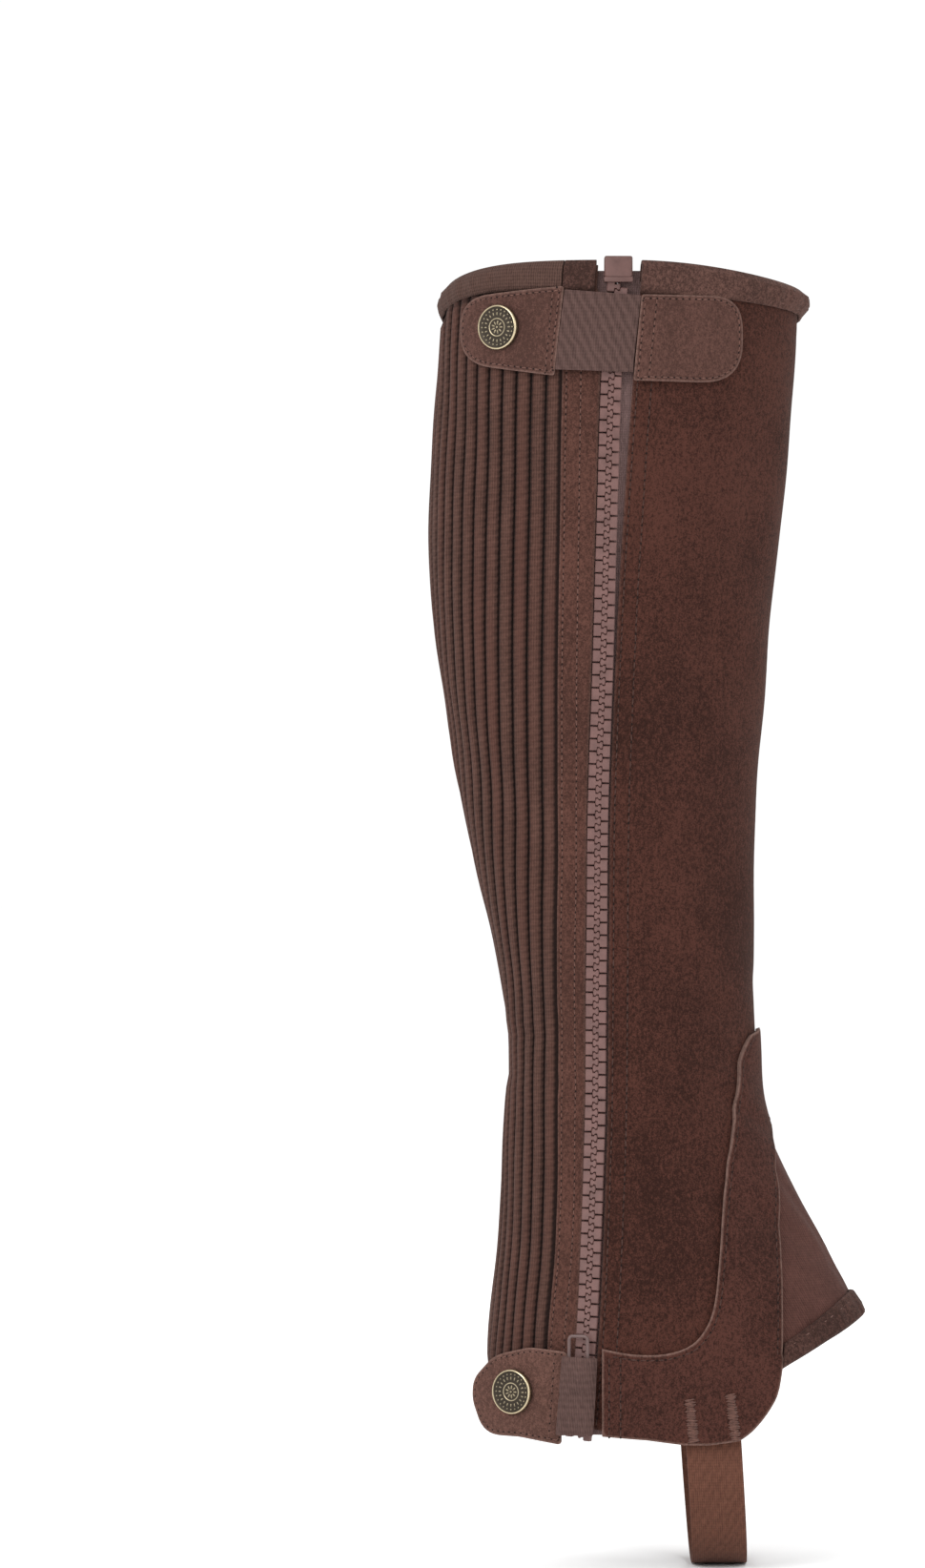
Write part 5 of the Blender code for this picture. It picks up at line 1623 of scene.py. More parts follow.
# %% Foot guard
# (x, height) along the guard's edge on the outer side, its front corner and its lower edge
GUARD_OUTER = (
    (-3.6, -272.6), (7.0, -274.4), (18.0, -274.2), (26.5, -271.2), (31.7, -265.0),
    (34.3, -257.0), (35.6, -245.0), (37.0, -229.0), (39.2, -210.0), (42.2, -190.0),
    (45.2, -174.5), (48.2, -168.8),
)
GUARD_TIP = -166.8
GUARD_CORNER = (
    (57.6, -276.5), (57.0, -281.5), (55.4, -288.6), (51.8, -294.6), (47.0, -300.0),
    (42.4, -303.4),
)
GUARD_HEM = ((32.0, -304.6), (23.7, -304.5), (11.6, -302.9), (-3.6, -301.8), (-3.6, -287.2))


def guard_path(rows, angle_of, parts=4):
    path = smooth_path(rows, parts) if parts > 1 else np.array(rows, float)
    return on_side(*path.T, OVER, angle_of)


# the two bars of stitches, each (x, height, x, height)
BARS = ((25.6, -289.5, 26.9, -303.2), (39.3, -288.0, 41.0, -302.8))


def guard_out(u, v):
    """The guard's height: on the outer side it dips along the bars of stitches."""
    x = leg(u / FLAT, v)[0]
    out = np.full(np.shape(x), OVER)
    for x1, z1, x2, z2 in BARS:
        middle = x1 + (x2 - x1) * np.clip((z1 - v) / (z1 - z2), 0, 1)
        dip = 0.45 * np.exp(-((x - middle) / 2.2) ** 2) * ease((z1 + 4 - v) / 4)
        out = out - dip * (u < 180 * FLAT)
    return out


def make_guard():
    notch_z = np.linspace(-275.0, GUARD_NOTCH - 0.3, 44)
    outer_notch = flat(np.column_stack((180 - notch(notch_z), notch_z)))
    inner_notch = flat(np.column_stack((180 + notch(notch_z), notch_z)))
    tip = np.array([(180.0 * FLAT, GUARD_TIP)])
    outer_edge = guard_path(GUARD_OUTER, outer_angle)[::-1]
    inner_edge = guard_path(GUARD_INNER, inner_angle)[::-1]
    hem_edge = guard_path(GUARD_HEM, outer_angle, 1)[::-1]
    outline = joined(
        tip, outer_edge, hem_edge, guard_path(GUARD_CORNER, outer_angle, 3)[::-1], outer_notch,
        np.array([(180.0 * FLAT, GUARD_NOTCH)]), inner_notch[::-1],
        guard_path(GUARD_CORNER, inner_angle, 3), inner_edge,
    )
    rows = [(moved_in(path, distance, leg_scale, False), False) for path, distance in (
        (outer_edge[::-1][2:-1], -1.8), (outer_notch, 1.7), (inner_notch[::-1], 1.7),
        (inner_edge[::-1][1:-1], 1.8),
    )]
    heights = np.linspace(-276.5, -300.5, 16)
    rows += [(on_side(x, heights, OVER), False) for x in (-1.2, 2.6)]
    sew("long", rows, OVER, 0.1)
    return cloth("foot_guard_cloth", outline, suede_guard, SUEDE, guard_out, spacing=2.1,
                 lines=rows)


foot_guard = make_guard()


# %% [markdown]
# ## Straps with snaps
# Two short straps cover the ends of the zip. Each is a suede tab with a snap, a piece of wide
# elastic, and, at the top, a second tab that is sewn to the panel. They lie on the ribs and the
# zip with a small gap, so each has its own height above the leg.

# %% Top strap
# corners in the side view: (x, height, radius)
TOP_SNAP_TAB = ((-16.3, 81.2, 1.0), (-50.9, 78.2, 10.0), (-51.0, 56.0, 13.0), (-19.7, 51.3, 1.0))
TOP_ELASTIC = ((9.35, 78.0, 0.4), (-16.1, 80.0, 0.4), (-19.5, 53.4, 0.4), (6.7, 52.4, 0.4))
TOP_TAB = ((44.4, 78.3, 10.5), (9.6, 78.3, 1.0), (6.9, 49.6, 1.0), (44.2, 49.2, 14.0))
OVER_RIBS = RIB_VALLEY + RIB_HEIGHT + OVERLAY_GAP
ELASTIC = 1.0
ELASTIC_RIDE = 1.1
TOP_TAB_RAMP = (12.0, 22.0)
TOP_TAB_RISE = 1.3
TAB_STEP = 1.5
TAB_INSET = 1.35


def strap_outline(corners, out, steps):
    return joined(on_side(*np.array(rounded(corners, steps)).T, out))


def straight(start, end, count=14):
    """Points on the straight line between two places in the side view."""
    return np.array(start) + np.outer(np.linspace(0, 1, count), np.subtract(end, start))


def top_tab_out(u, v):
    low, high = TOP_TAB_RAMP
    return OVER + TOP_TAB_RISE * ease((high - leg(u / FLAT, v)[0]) / (high - low))


def sewn_tab(name, corners, out, lift, cross):
    """A tab with stitches all round, and a row across it between the places in cross."""
    outline = strap_outline(corners, out, 8)
    dense = divided(outline, TAB_STEP, True, leg_scale)
    across = on_side(*straight(*cross).T, out)
    rows = [(moved_in(dense, TAB_INSET, leg_scale), True), (across, False)]
    sew("short", rows, lift, 0.06)
    return cloth(name, outline, suede_tab, SUEDE, lift, spacing=2.0, lines=rows)


top_snap_tab = sewn_tab(
    "top_snap_tab_suede", TOP_SNAP_TAB, OVER_RIBS + SUEDE, OVER_RIBS + SUEDE,
    ((-20.2, 77.9), (-22.6, 53.4)),
)
top_tab = sewn_tab(
    "top_tab_suede", TOP_TAB, OVER + TOP_TAB_RISE, top_tab_out, ((14.6, 76.0), (12.2, 52.0)),
)


def ripple(u, v):
    """Small slanting waves in stretched elastic."""
    return 0.07 * np.sin((u * 1.1 + v) * 2 * pi / 2.6) + 0.06 * np.sin((u - v * 0.6) * 2 * pi / 3.9)


def make_top_elastic():
    out = OVER_RIBS + ELASTIC_RIDE
    outline = strap_outline(TOP_ELASTIC, out, 2)
    return cloth("top_elastic_band", outline, elastic_cloth, ELASTIC,
                 lambda u, v: out + ripple(u, v), spacing=0.9, rounding=0.2)


top_elastic = make_top_elastic()

# %% Ankle strap
ANKLE_SNAP_TAB = (
    (-15.2, -273.8, 2.0), (-28.0, -272.6, 14.0), (-39.5, -275.7, 12.0), (-46.4, -284.0, 12.0),
    (-46.8, -291.0, 14.0), (-43.0, -302.4, 9.0), (-31.0, -302.6, 14.0), (-17.4, -304.8, 1.0),
)
ANKLE_ELASTIC = (
    (-4.6, -275.6, 0.4), (-15.0, -275.0, 0.4), (-17.0, -301.4, 0.4), (-5.6, -301.4, 0.4),
)
# (x, y) of the tab seen from above, and (x, height above the leg) of the elastic
ANKLE_TAB_PLAN = ((-48.0, -18.6), (-44.0, -22.3), (-33.0, -30.2), (-24.0, -35.2), (-14.0, -39.2))
ANKLE_RIDE = ((-19.0, 3.6), (-16.0, 5.0), (-10.0, 5.2), (-6.4, 4.9), (-4.0, 1.8))


def tab_run(u):
    """How far the ankle tab's plan goes across in 2 mm of x, and how long it is there."""
    ahead = smooth(ANKLE_TAB_PLAN, u + 1.0, 1) - smooth(ANKLE_TAB_PLAN, u - 1.0, 1)
    return ahead, np.hypot(ahead, 2.0)


def on_tab(u, v, out):
    """Place on the ankle tab's plan: u is the side-view x, v the height."""
    u, v, out = np.broadcast_arrays(u, v, out)
    ahead, size = tab_run(u)
    bow = 0.35 * np.sin((v + 289) / 11.0 + u / 9.0)
    out = out + bow
    return np.stack((u + ahead / size * out, smooth(ANKLE_TAB_PLAN, u, 1) - 2 / size * out, v), -1)


def tab_scale(u, v):
    return tab_run(u)[1] / 2


def make_ankle_tab():
    outline = joined(np.array(rounded(ANKLE_SNAP_TAB, 8)))
    dense = divided(outline, TAB_STEP, True, tab_scale)
    across = straight((-19.6, -276.6), (-21.2, -301.6))
    rows = [(moved_in(dense, TAB_INSET, tab_scale), True), (across, False)]
    sew("short", rows, 0.0, 0.06, on_tab)
    return cloth("ankle_snap_tab_suede", outline, suede_ankle, SUEDE, 0.0, on_tab, tab_scale,
                 lambda u, v: (u * MM, v * MM), 2.0, rows)


ankle_snap_tab = make_ankle_tab()


def ankle_ride(u, v):
    x = leg(u / FLAT, v)[0]
    gathers = 0.30 * np.sin(x * 2.4) * ease((-284 - v) / 12)
    fold = 0.60 * np.exp(-((v + 288) / 1.1) ** 2)
    return smooth(ANKLE_RIDE, x, 1) + (gathers - fold)


def make_ankle_elastic():
    outline = strap_outline(ANKLE_ELASTIC, 0.0, 2)
    return cloth("ankle_elastic_band", outline, elastic_plain, ELASTIC, ankle_ride, spacing=0.9,
                 rounding=0.2)


ankle_elastic = make_ankle_elastic()

# %% [markdown]
# ## The strap under the foot
# A band of elastic webbing, sewn in between the layers on both sides, goes round under the sole.
# It is one ribbon: a fine grid along a rounded loop, thickened like the other cloth.

# %% Stirrup strap
STRAP_X = (24.5, 43.0)
STRAP_SKEW = 2.8
STRAP_THICK = 1.5
STRAP_DROP = 44.0
STRAP_ROWS = (-291.0, -294.0, -297.0, -300.0, -303.5)
STRAP_TURNS = 110
STRAP_FULLNESS = 2.4
STRAP_ACROSS = 12


def make_stirrup():
    inset = -STRETCH - SEAM_GAP
    part = np.linspace(0, 1, STRAP_ACROSS + 1)
    wide_x = STRAP_X[0] + (STRAP_X[1] - STRAP_X[0]) * part

    def side(z, angle_of):
        return off_leg(angle_of(wide_x, z, inset), np.full(len(wide_x), z), inset)

    rows = [side(z, outer_angle) for z in STRAP_ROWS]
    start_z = STRAP_ROWS[-1]
    outer, inner = side(start_z, outer_angle)[:, 1], side(start_z, inner_angle)[:, 1]
    for i in range(1, STRAP_TURNS):
        sweep = pi * i / STRAP_TURNS
        down = sin(sweep) ** (2 / STRAP_FULLNESS)
        wide = (1 if cos(sweep) > 0 else -1) * abs(cos(sweep)) ** (2 / STRAP_FULLNESS)
        y = (outer + inner) / 2 + (outer - inner) / 2 * wide
        z = np.full(len(part), start_z - STRAP_DROP * down)
        rows.append(np.stack((wide_x + STRAP_SKEW * down, y, z), -1))
    rows += [side(z, inner_angle) for z in reversed(STRAP_ROWS)]
    count = STRAP_ACROSS + 1
    faces = [
        (r * count + k, (r + 1) * count + k, (r + 1) * count + k + 1, r * count + k + 1)
        for r in range(len(rows) - 1) for k in range(STRAP_ACROSS)
    ]
    item = from_arrays("stirrup_strap_webbing", np.concatenate(rows), faces, webbing)
    steps = [np.linalg.norm(b[0] - a[0]) for a, b in zip(rows, rows[1:])]
    length = np.concatenate(([0.0], np.cumsum(steps)))
    u = np.tile(part * (STRAP_X[1] - STRAP_X[0]), len(rows)) * MM
    set_uv(item, u, np.repeat(length, count) * MM)
    thicken(item, STRAP_THICK)
    print(f"stirrup strap: {length[-1]:.0f} mm of webbing")
    return item


stirrup_strap = make_stirrup()


# %% [markdown]
# ## The zip
# The moulded teeth of the two tapes mesh in a wavy line. One tooth is a small block with a neck
# and a bulb. The repeat tree sets it up the left tape and, half a step off, down the right one,
# so the bulbs lie between each other as in the real chain.

# %% Teeth
CHAIN_RISE = 0.8
CHAIN_DEPTH = 2.3
CHAIN_TOP = 82.0
CHAIN_LOW = -303.6
TOOTH_PITCH = 4.2
SLIDER_Z = -283.0
SLIDER_LONG = 12.0


def tooth_form():
    """One tooth: X along the chain, Y from the middle to the tape, Z out."""
    half = ((1.80, 3.45), (1.88, 3.25), (1.88, 1.35), (1.70, 1.0), (0.74, 0.9), (0.68, 0.2),
            (1.12, -0.1), (1.22, -0.5), (0.95, -0.85), (0.40, -0.98))
    outline = [*half, *((-x, y) for x, y in reversed(half))]
    levels = ((-CHAIN_DEPTH + CHAIN_RISE, 0), (CHAIN_RISE - 0.28, 0), (CHAIN_RISE, 0.24))
    points = []
    for z, slope in levels:
        for x, y in outline:
            x -= slope * (1 if x > 0 else -1) * min(1.0, abs(x) / 0.5)
            if slope:
                y += -slope if y > 1.2 else (0.10 if y > -0.4 else slope * 0.7)
            points.append((x, y, z))
    size = (len(levels), len(outline))
    item = form_from("tooth_form", points, ring_faces(*size) + end_faces(*size))
    turn_outwards(item)
    return item


def chain_guide(low, high, side, apart=0.0):
    """The middle of the chain as a guide for one side's teeth, up or down."""
    z = np.linspace(low, high, max(8, int((high - low) / 4)))
    angle = beside_zip(side * apart)(z)
    here = spot(angle, z, 0.0)
    level = spot(angle + 0.5, z, 0.0) - spot(angle - 0.5, z, 0.0)
    up = np.gradient(here, axis=0)
    normal = np.cross(level, up)
    normal /= np.linalg.norm(normal, axis=1)[:, None]
    if side > 0:
        return here[::-1], normal[::-1], False
    return here, normal, False


tooth = tooth_form()
chain_low = SLIDER_Z + SLIDER_LONG / 2 + SEAM_GAP
left_teeth = chain_guide(chain_low + 2.0, CHAIN_TOP - 1.0, -1)
right_teeth = chain_guide(chain_low + 2.0 - TOOTH_PITCH / 2, CHAIN_TOP - 1.0 - TOOTH_PITCH / 2, 1)
zip_chain = repeat_along(
    "zip_chain_teeth", [left_teeth, right_teeth], tooth, TOOTH_PITCH, teeth_plastic, sharp=30
)
end_top = SLIDER_Z - SLIDER_LONG / 2 - SEAM_GAP - 2.0
end_low = CHAIN_LOW + 3.2
zip_end = repeat_along(
    "zip_end_teeth",
    [chain_guide(end_low, end_top, -1, 0.9), chain_guide(end_low - 1.0, end_top - 1.0, 1, 0.9)],
    tooth, TOOTH_PITCH, teeth_plastic, sharp=30,
)


# %% Retainer box, slider and pull
def upright(angle, z, out):
    """Placement on the leg: local X round the leg, local Y into it, local Z up the leg."""
    here = Vector(spot(angle, z, out))
    level = Vector(spot(angle + 1, z, out) - spot(angle - 1, z, out)).normalized()
    up = Vector(spot(angle, z + 3, out) - spot(angle, z - 3, out)).normalized()
    into = up.cross(level).normalized()
    up = level.cross(into)
    turn = Matrix((level, into, up)).transposed().to_4x4()
    return Matrix.Translation(here * MM) @ turn


def stacked(name, outline, levels, material, place, bevel=0.25):
    """A solid from one outline at several depths: levels are (depth, size, shift up)."""
    points = []
    for depth, size, shift in levels:
        points += [(x * size, depth, z * size + shift) for x, z in outline]
    size = (len(levels), len(outline))
    item = from_arrays(name, points, ring_faces(*size) + end_faces(*size), material)
    turn_outwards(item)
    rounding = item.modifiers.new("Rounding", "BEVEL")
    rounding.width = bevel * MM
    rounding.segments = 2
    rounding.angle_limit = radians(40)
    finished(item, 40)
    item.data.transform(place)
    item.data.update()
    return item


def merged(name, pieces):
    """Join objects into the first one."""
    mesh = bmesh.new()
    for piece in pieces:
        mesh.from_mesh(piece.data)
    mesh.to_mesh(pieces[0].data)
    mesh.free()
    for piece in pieces[1:]:
        bpy.data.objects.remove(piece)
    pieces[0].name = name
    pieces[0].data.set_sharp_from_angle(angle=radians(40))
    return pieces[0]


def box_outline(wide, long, radius, steps=4):
    signs = ((1, 1), (-1, 1), (-1, -1), (1, -1))
    return rounded([(wide / 2 * x, long / 2 * z, radius) for x, z in signs], steps)


BOX_Z = 86.7
BOX_SIZE = (9.4, 4.4, 8.8)


def make_zip_box():
    half = BOX_SIZE[1] / 2
    place = upright(float(zip_middle(BOX_Z)), BOX_Z, half - STRETCH)
    body = stacked("box_body", box_outline(BOX_SIZE[0], BOX_SIZE[2] - 1.6, 0.8), (
        (half, 0.96, 0.8), (half - 0.4, 1.0, 0.8), (-half + 0.7, 1.0, 0.8), (-half, 0.90, 0.8),
    ), box_plastic, place)
    lip = stacked("box_lip", box_outline(BOX_SIZE[0] + 0.2, 1.7, 0.5), (
        (half - 0.1, 1.0, -3.45), (-half + 0.15, 1.0, -3.45),
    ), box_plastic, place)
    return merged("zip_box_moulded", [body, lip])


zip_box = make_zip_box()

SLIDER_PLATE = 1.0
PULL_SIZE = (7.6, 17.6)
PULL_WIRE = 0.6
PULL_CORNER = 1.4
PULL_Z = -276.6
PULL_X = -10.5


def make_slider():
    lift = CHAIN_RISE + SEAM_GAP + SLIDER_PLATE / 2
    place = upright(float(zip_middle(SLIDER_Z)), SLIDER_Z, lift)
    shield = rounded([(4.3, 5.9, 2.0), (-4.3, 5.9, 2.0), (-3.4, -2.0, 2.0), (-4.1, -5.9, 1.6),
                      (4.1, -5.9, 1.6), (3.4, -2.0, 2.0)], 5)
    plate = stacked("slider_plate", shield, ((0.5, 1.0, 0.0), (-0.5, 0.97, 0.0)), slider_paint,
                    place, 0.3)
    bridge = stacked("slider_bridge", box_outline(1.8, 5.0, 0.6), (
        (-0.3, 1.0, 2.0), (-1.5, 1.0, 2.0), (-2.3, 0.72, 2.0),
    ), slider_paint, place)
    return merged("zip_slider_metal", [plate, bridge])


zip_slider = make_slider()


def make_pull():
    """The pull: a closed frame of rounded flat wire."""
    wide, long = (side - 2 * PULL_WIRE for side in PULL_SIZE)
    path = box_outline(wide, long, PULL_CORNER, 6)
    path = [p for i, p in enumerate(path) if hypot(*np.subtract(p, path[i - 1])) > 0.05]
    points = []
    sides = 12
    count = len(path)
    for i, (x, z) in enumerate(path):
        before, after = path[i - 1], path[(i + 1) % count]
        along = Vector((after[0] - before[0], 0.0, after[1] - before[1])).normalized()
        across = along.cross(Vector((0, 1, 0)))
        for k in range(sides):
            turn = 2 * pi * k / sides
            wide_part, deep_part = cos(turn) * PULL_WIRE * 1.02, sin(turn) * PULL_WIRE * 0.98
            points.append((x + across.x * wide_part, deep_part, z + across.z * wide_part))
    faces = ring_faces(count, sides, closed=True)
    item = from_arrays("zip_pull_frame", points, faces, slider_paint)
    turn_outwards(item)
    finished(item, 60)
    lift = CHAIN_RISE + 2 * SEAM_GAP + SLIDER_PLATE + PULL_WIRE
    item.data.transform(upright(float(outer_angle(PULL_X, PULL_Z)), PULL_Z, lift))
    return item


zip_pull = make_pull()


# %% [markdown]
# ## Snap caps
# A snap's cap is stamped brass: a bright rounded rim, a sunken dark field, and a raised pattern
# in it. The pattern here is a plain rosette of petals in rings of small studs and beads. The cap
# is turned like a lathe piece, and its raised parts are set on it with the repeat tree.

# %% Snap caps
TOP_SNAP = (-38.1, 67.8)
ANKLE_SNAP = (-33.0, -287.6)
# (radius, height, how rubbed)
SNAP_PROFILE = (
    (7.50, 0.0, 0.3), (7.55, 0.6, 0.4), (7.50, 1.1, 0.7), (7.38, 1.45, 0.85), (7.15, 1.68, 0.85),
    (6.98, 1.70, 0.8), (6.84, 1.55, 0.35), (6.70, 1.25, 0.05), (6.30, 1.10, 0.0),
    (5.00, 1.18, 0.0), (3.20, 1.24, 0.0), (3.05, 1.38, 0.6), (2.85, 1.38, 0.6),
    (2.70, 1.26, 0.0), (1.20, 1.30, 0.0), (0.0, 1.32, 0.0),
)
SNAP_STEPS = 72
RING_POINTS = 96


def facing(here, out):
    """Placement whose local Z looks out, with local Y up the leg."""
    out = Vector(out).normalized()
    side = Vector((0, 0, 1)).cross(out).normalized()
    up = out.cross(side).normalized()
    turn = Matrix((side, up, out)).transposed().to_4x4()
    return Matrix.Translation(Vector(here) * MM) @ turn


def ring_guide(radius, height):
    """A level ring as a guide: its points, their facings, closed."""
    turn = np.linspace(0, 2 * pi, RING_POINTS, endpoint=False)
    path = np.stack((radius * np.cos(turn), radius * np.sin(turn), height + 0 * turn), -1)
    return path, np.tile((0.0, 0.0, 1.0), (RING_POINTS, 1)), True


dot_form = bead_form("dot_form", 0.62, 0.62, 0.5, 8, 3)
petal_form = bead_form("petal_form", 0.62, 1.45, 0.46, 8, 5)
stud_form = bead_form("stud_form", 0.5, 1.15, 0.42, 8, 3)


def make_snap(name, place):
    points, rubbed = [], []
    rings = [row for row in SNAP_PROFILE if row[0] > 0]
    for radius, height, shine in rings:
        for k in range(SNAP_STEPS):
            turn = 2 * pi * k / SNAP_STEPS
            points.append((radius * cos(turn), radius * sin(turn), height))
            rubbed.append(shine)
    points.append((0.0, 0.0, SNAP_PROFILE[-1][1]))
    rubbed.append(0.0)
    faces = ring_faces(len(rings), SNAP_STEPS)
    back, front = end_faces(len(rings), SNAP_STEPS)
    faces += [(k, front[(i + 1) % SNAP_STEPS], len(points) - 1) for i, k in enumerate(front)]
    faces.append(back)
    cap = from_arrays(name + "_cap", points, faces, brass)
    set_attribute(cap, "rubbed", rubbed)
    finished(cap, 50)
    raised = [
        repeat_along(name + "_beads", [ring_guide(5.9, 1.16)], dot_form, 1.55, brass),
        repeat_along(name + "_studs", [ring_guide(4.55, 1.2)], stud_form, 1.43, brass),
        repeat_along(name + "_petals", [ring_guide(1.55, 1.3)], petal_form, 1.217, brass),
        repeat_along(name + "_middle", [ring_guide(0.16, 1.3)], dot_form, 0.5, brass),
    ]
    for piece in raised:
        set_attribute(piece, "rubbed", np.full(len(piece.data.vertices), 0.42))
    item = merged(name, [cap, *raised])
    item.data.transform(place)
    item.data.update()
    return item


snap_x, snap_z = TOP_SNAP
snap_out = RIB_VALLEY + RIB_HEIGHT + 2 * OVERLAY_GAP + SUEDE
snap_angle = float(outer_angle(snap_x, snap_z, snap_out))
snap_here = spot(snap_angle, snap_z, snap_out - 0.15)
snap_normal = spot(snap_angle, snap_z, snap_out) - spot(snap_angle, snap_z, 0.0)
top_snap = make_snap("top_snap_brass", facing(snap_here, snap_normal))

snap_x, snap_z = ANKLE_SNAP
snap_here = on_tab(snap_x, snap_z, 0.15)
snap_normal = on_tab(snap_x, snap_z, 1.0) - on_tab(snap_x, snap_z, 0.0)
ankle_snap = make_snap("ankle_snap_brass", facing(snap_here, snap_normal))

# %% [markdown]
# ## Sewing
# Now all the sewing lines that were kept while the cloth was cut get their thread. Long stitches
# hold the heavy suede, short ones the tabs, the patch and the bindings. Small near-black beads
# between the stitches are painted shade for the needle holes, two dense bars hold the strap and a
# short row holds the top tab.

# %% Stitches
TAB_BAR = (35.0, 76.0, 35.0, 66.0)


def bar_guide(kind, bar, out):
    """A straight row on the outer side, for a bar given as (x, height, x, height)."""
    sewn_guide(kind, on_side(*straight(bar[:2], bar[2:], 12).T, out), on_leg, out)


bar_guide("dark", TAB_BAR, OVER + 0.1)


def sewing(name, kind, form, step, thread, uneven=0.15, turn=8):
    return repeat_along(name, GUIDES[kind], form, step, thread, uneven, turn)


stitches_long = sewing("stitches_long", "long", stitch_form, LONG_STEP, thread_dark)
stitches_short = sewing("stitches_short", "short", short_stitch_form, SHORT_STEP, thread_light)
stitches_pale = sewing("stitches_pale", "pale", stitch_form, LONG_STEP, thread_pale)
stitches_dark = sewing("stitches_dark", "dark", short_stitch_form, SHORT_STEP, thread_dark)
needle_holes = merged("needle_holes", [
    sewing("long_holes", "long", long_hole, LONG_STEP, hole_shade, 0.0, 0.0),
    sewing("short_holes", "short", short_hole, SHORT_STEP, hole_shade, 0.0, 0.0),
])


# %% Bars of dense stitches
for bar in BARS:
    bar_guide("bars", bar, OVER - 0.2)
bar_stitches = repeat_along("bar_stitches", GUIDES["bars"], bar_form, 0.52, thread_light, 0.22, 8)
for form in (stitch_form, short_stitch_form, bar_form, long_hole, short_hole, dot_form, petal_form,
             stud_form, tooth):
    bpy.data.objects.remove(form)

# %% [markdown]
# ## Each piece on the body, in place of its plain solid
# Every piece rides on the one body of the part and stands for its plain solid, which is hidden.
# Each cloth piece also gives the flat size to which it is cut.

# %% Pieces and solids
STANDS_FOR = (
    (outer_panel, "outer_panel", "suede"), (inner_panel, "inner_panel", "stretch"),
    (inner_strip, "inner_strip", "suede"), (zip_strip, "zip_strip", "suede"),
    (inner_patch, "inner_patch", "suede"), (tape_back, "zip_tape_back", "tape"),
    (tape_front, "zip_tape_front", "tape"), (rib_panel, "rib_panel", "ribs"),
    (rim_binding, "rim_binding", "suede"), (rim_knit, "rim_knit", "elastic"),
    (rim_fold, "rim_fold", "suede"), (hem_binding, "hem_binding", "suede"),
    (gusset, "gusset", "stretch"), (gusset_binding, "gusset_binding", "suede"),
    (foot_guard, "foot_guard", "suede"), (top_snap_tab, "top_snap_tab", "suede"),
    (top_tab, "top_tab", "suede"), (top_elastic, "top_elastic", "elastic"),
    (ankle_snap_tab, "ankle_snap_tab", "suede"), (ankle_elastic, "ankle_elastic", "elastic"),
    (stirrup_strap, "stirrup_strap", "webbing"), (zip_chain, "zip_chain", "zip"),
    (zip_end, "zip_end", "zip"), (zip_box, "zip_box", "zip"), (zip_slider, "zip_slider", "zip"),
    (zip_pull, "zip_pull", "zip"), (top_snap, "top_snap", "brass"),
    (ankle_snap, "ankle_snap", "brass"),
)
for piece, node, finish in STANDS_FOR:
    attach(piece, "root")
    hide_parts(node)
SEWING = (
    stitches_long, stitches_short, stitches_pale, stitches_dark, needle_holes, bar_stitches,
)
for piece in SEWING:
    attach(piece, "root")


def measured(piece):
    """Half the surface of a thin closed piece, in square metres."""
    return sum(face.area for face in piece.data.polygons) / 2


def spread(piece):
    """Width and length of a piece's cloth coordinates, laid flat, in metres."""
    layer = piece.data.uv_layers.active.data
    places = np.empty(len(layer) * 2)
    layer.foreach_get("uv", places)
    return np.ptp(places.reshape(-1, 2), axis=0)


for piece, _, _ in STANDS_FOR:
    if piece.data.uv_layers:
        size = " by ".join(f"{side * 1000:.0f}" for side in spread(piece))
        print(f"{piece.name}: {size} mm, {measured(piece) * 1e4:.1f} square cm")

# %% [markdown]
# ## Cut sizes
# A maker cuts each piece flat. The sizes are width and length in metres. Few cuts are plain
# rectangles, so the area is measured on the piece itself, as half the surface of its thin shell.

# %% Sheets
SHEETS = (
    (outer_panel, (0.126, 0.392), "stretched", ["zip_tape_front"]),
    (inner_panel, (0.133, 0.385), "stretched", ["stirrup_strap"]),
    (inner_strip, (0.029, 0.370), "stretched", [rib_panel]),
    (zip_strip, (0.014, 0.386), "stretched", [tape_back]),
    (inner_patch, (0.094, 0.247), "laid", [inner_panel]),
    (tape_back, (0.015, 0.388), "laid", [zip_strip]),
    (tape_front, (0.015, 0.388), "laid", [outer_panel]),
    (rib_panel, (0.083, 0.384), "stretched", [zip_strip]),
    (rim_binding, (0.0185, 0.228), "folded", [outer_panel, inner_panel]),
    (rim_knit, (0.0185, 0.076), "folded", [rib_panel]),
    (rim_fold, (0.023, 0.0105), "folded", [zip_strip]),
    (hem_binding, (0.012, 0.109), "folded", [inner_panel]),
    (gusset, (0.128, 0.093), "stretched", [outer_panel, inner_panel]),
    (gusset_binding, (0.018, 0.093), "folded", [gusset]),
    (foot_guard, (0.160, 0.138), "laid", [outer_panel, inner_panel]),
    (top_snap_tab, (0.038, 0.030), "laid", [rib_panel]),
    (top_tab, (0.038, 0.030), "laid", [outer_panel]),
    (top_elastic, (0.028, 0.027), "stretched", [top_snap_tab, top_tab]),
    (ankle_snap_tab, (0.034, 0.032), "laid", [hem_binding]),
    (ankle_elastic, (0.026, 0.015), "stretched", [zip_slider]),
    (stirrup_strap, (0.0195, 0.162), "hung", [foot_guard]),
)

for piece, size, held, under in SHEETS:
    area = min(measured(piece), size[0] * size[1])
    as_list(under)

# %% [markdown]
# ## Floor, light and camera
# The picture is a plain studio view, level with the middle of the chap and from a good distance.
# A wide round floor and an even white sky leave nothing to see but the chap, from every side.
# Large soft lights stand in front, on both sides, and behind.

# %% Floor and lights
FLOOR_GAP = 0.0002
FLOOR_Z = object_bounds()[0][2] - FLOOR_GAP
FLOOR_RADIUS = 14.0
FLOOR_TONES = (0.97, 0.985)


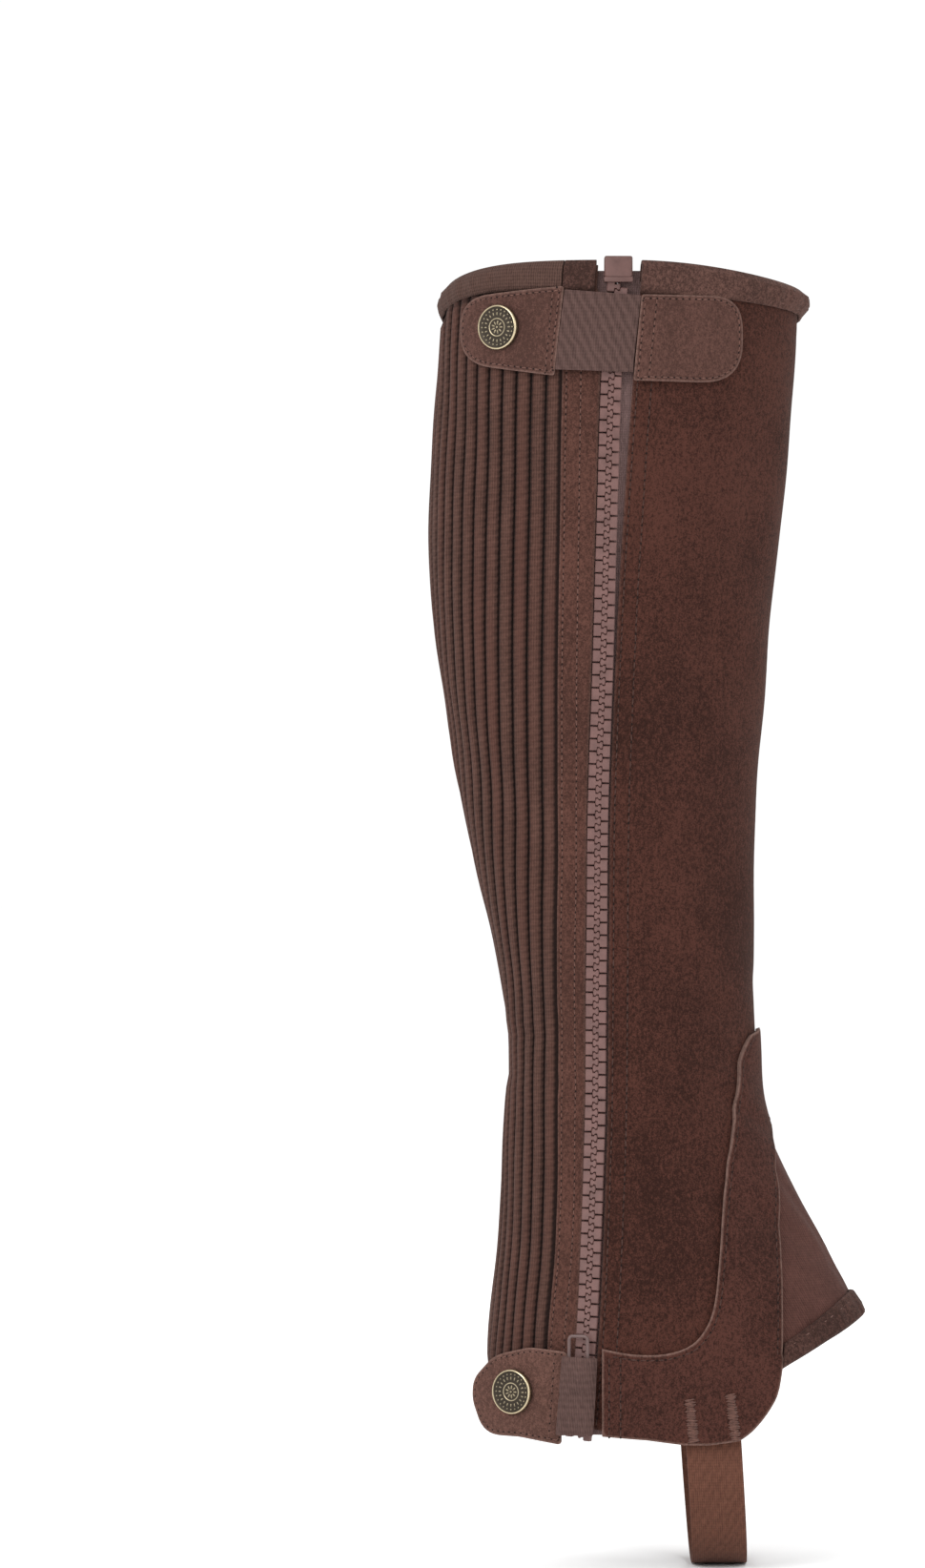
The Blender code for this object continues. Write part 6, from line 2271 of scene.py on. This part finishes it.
def make_floor():
    points, _, _ = ring_guide(FLOOR_RADIUS / MM, FLOOR_Z / MM)
    material, tree, shader = new_material("studio_floor", 0.9)
    cloud = noise(tree, place_nodes(tree), 1.5, 2.0)
    tones = [(tone, tone, tone) for tone in FLOOR_TONES]
    feed(tree, shader.inputs["Base Color"], blend(tree, cloud, *tones))
    from_arrays("studio_floor", points, [range(len(points))], material)


make_floor()


AIM = (0.0, 0.0, -0.10)


def area_light(name, place, size, power):
    light = bpy.data.lights.new(name, "AREA")
    light.shape = "RECTANGLE"
    light.size, light.size_y = size
    light.energy = power
    item = bpy.data.objects.new(name, light)
    item.location = place
    item.rotation_euler = (Vector(AIM) - Vector(place)).to_track_quat("-Z", "Y").to_euler()
    bpy.context.scene.collection.objects.link(item)


area_light("key", (-1.1, -1.5, 0.9), (1.1, 1.4), 24)
area_light("fill", (1.5, -1.3, 0.3), (1.2, 1.6), 7)
area_light("back", (0.4, 1.8, 1.2), (1.6, 1.2), 12)
world = bpy.data.worlds.new("studio")
world.use_nodes = True
world.node_tree.nodes["Background"].inputs[0].default_value = (1.0, 1.0, 1.0, 1)
world.node_tree.nodes["Background"].inputs[1].default_value = 1.04
bpy.context.scene.world = world
bpy.context.scene.view_settings.view_transform = "Standard"

# %% Camera
CAMERA_DISTANCE = 2.6
CAMERA_AIM = (-0.050, -0.0845)
SENSOR = 36.0
PHOTO_WIDTH = 970
PIXELS_PER_MM = 3.1
FRAME_WIDTH = PHOTO_WIDTH / PIXELS_PER_MM * MM
camera_data = bpy.data.cameras.new("camera")
camera_data.sensor_fit = "HORIZONTAL"
camera_data.sensor_width = SENSOR
camera_data.lens = SENSOR * CAMERA_DISTANCE / FRAME_WIDTH
camera = bpy.data.objects.new("camera", camera_data)
camera.location = (CAMERA_AIM[0], -CAMERA_DISTANCE, CAMERA_AIM[1])
camera.rotation_euler = (pi / 2, 0.0, 0.0)
bpy.context.scene.collection.objects.link(camera)
bpy.context.scene.camera = camera
print("lens:", round(camera_data.lens), "mm")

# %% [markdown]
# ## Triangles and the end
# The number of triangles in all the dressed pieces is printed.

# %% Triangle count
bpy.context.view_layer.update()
triangle_count = 0
for piece in [row[0] for row in STANDS_FOR] + list(SEWING):
    triangle_count += sum(len(face.vertices) - 2 for face in piece.data.polygons)
print("triangles in all:", triangle_count)
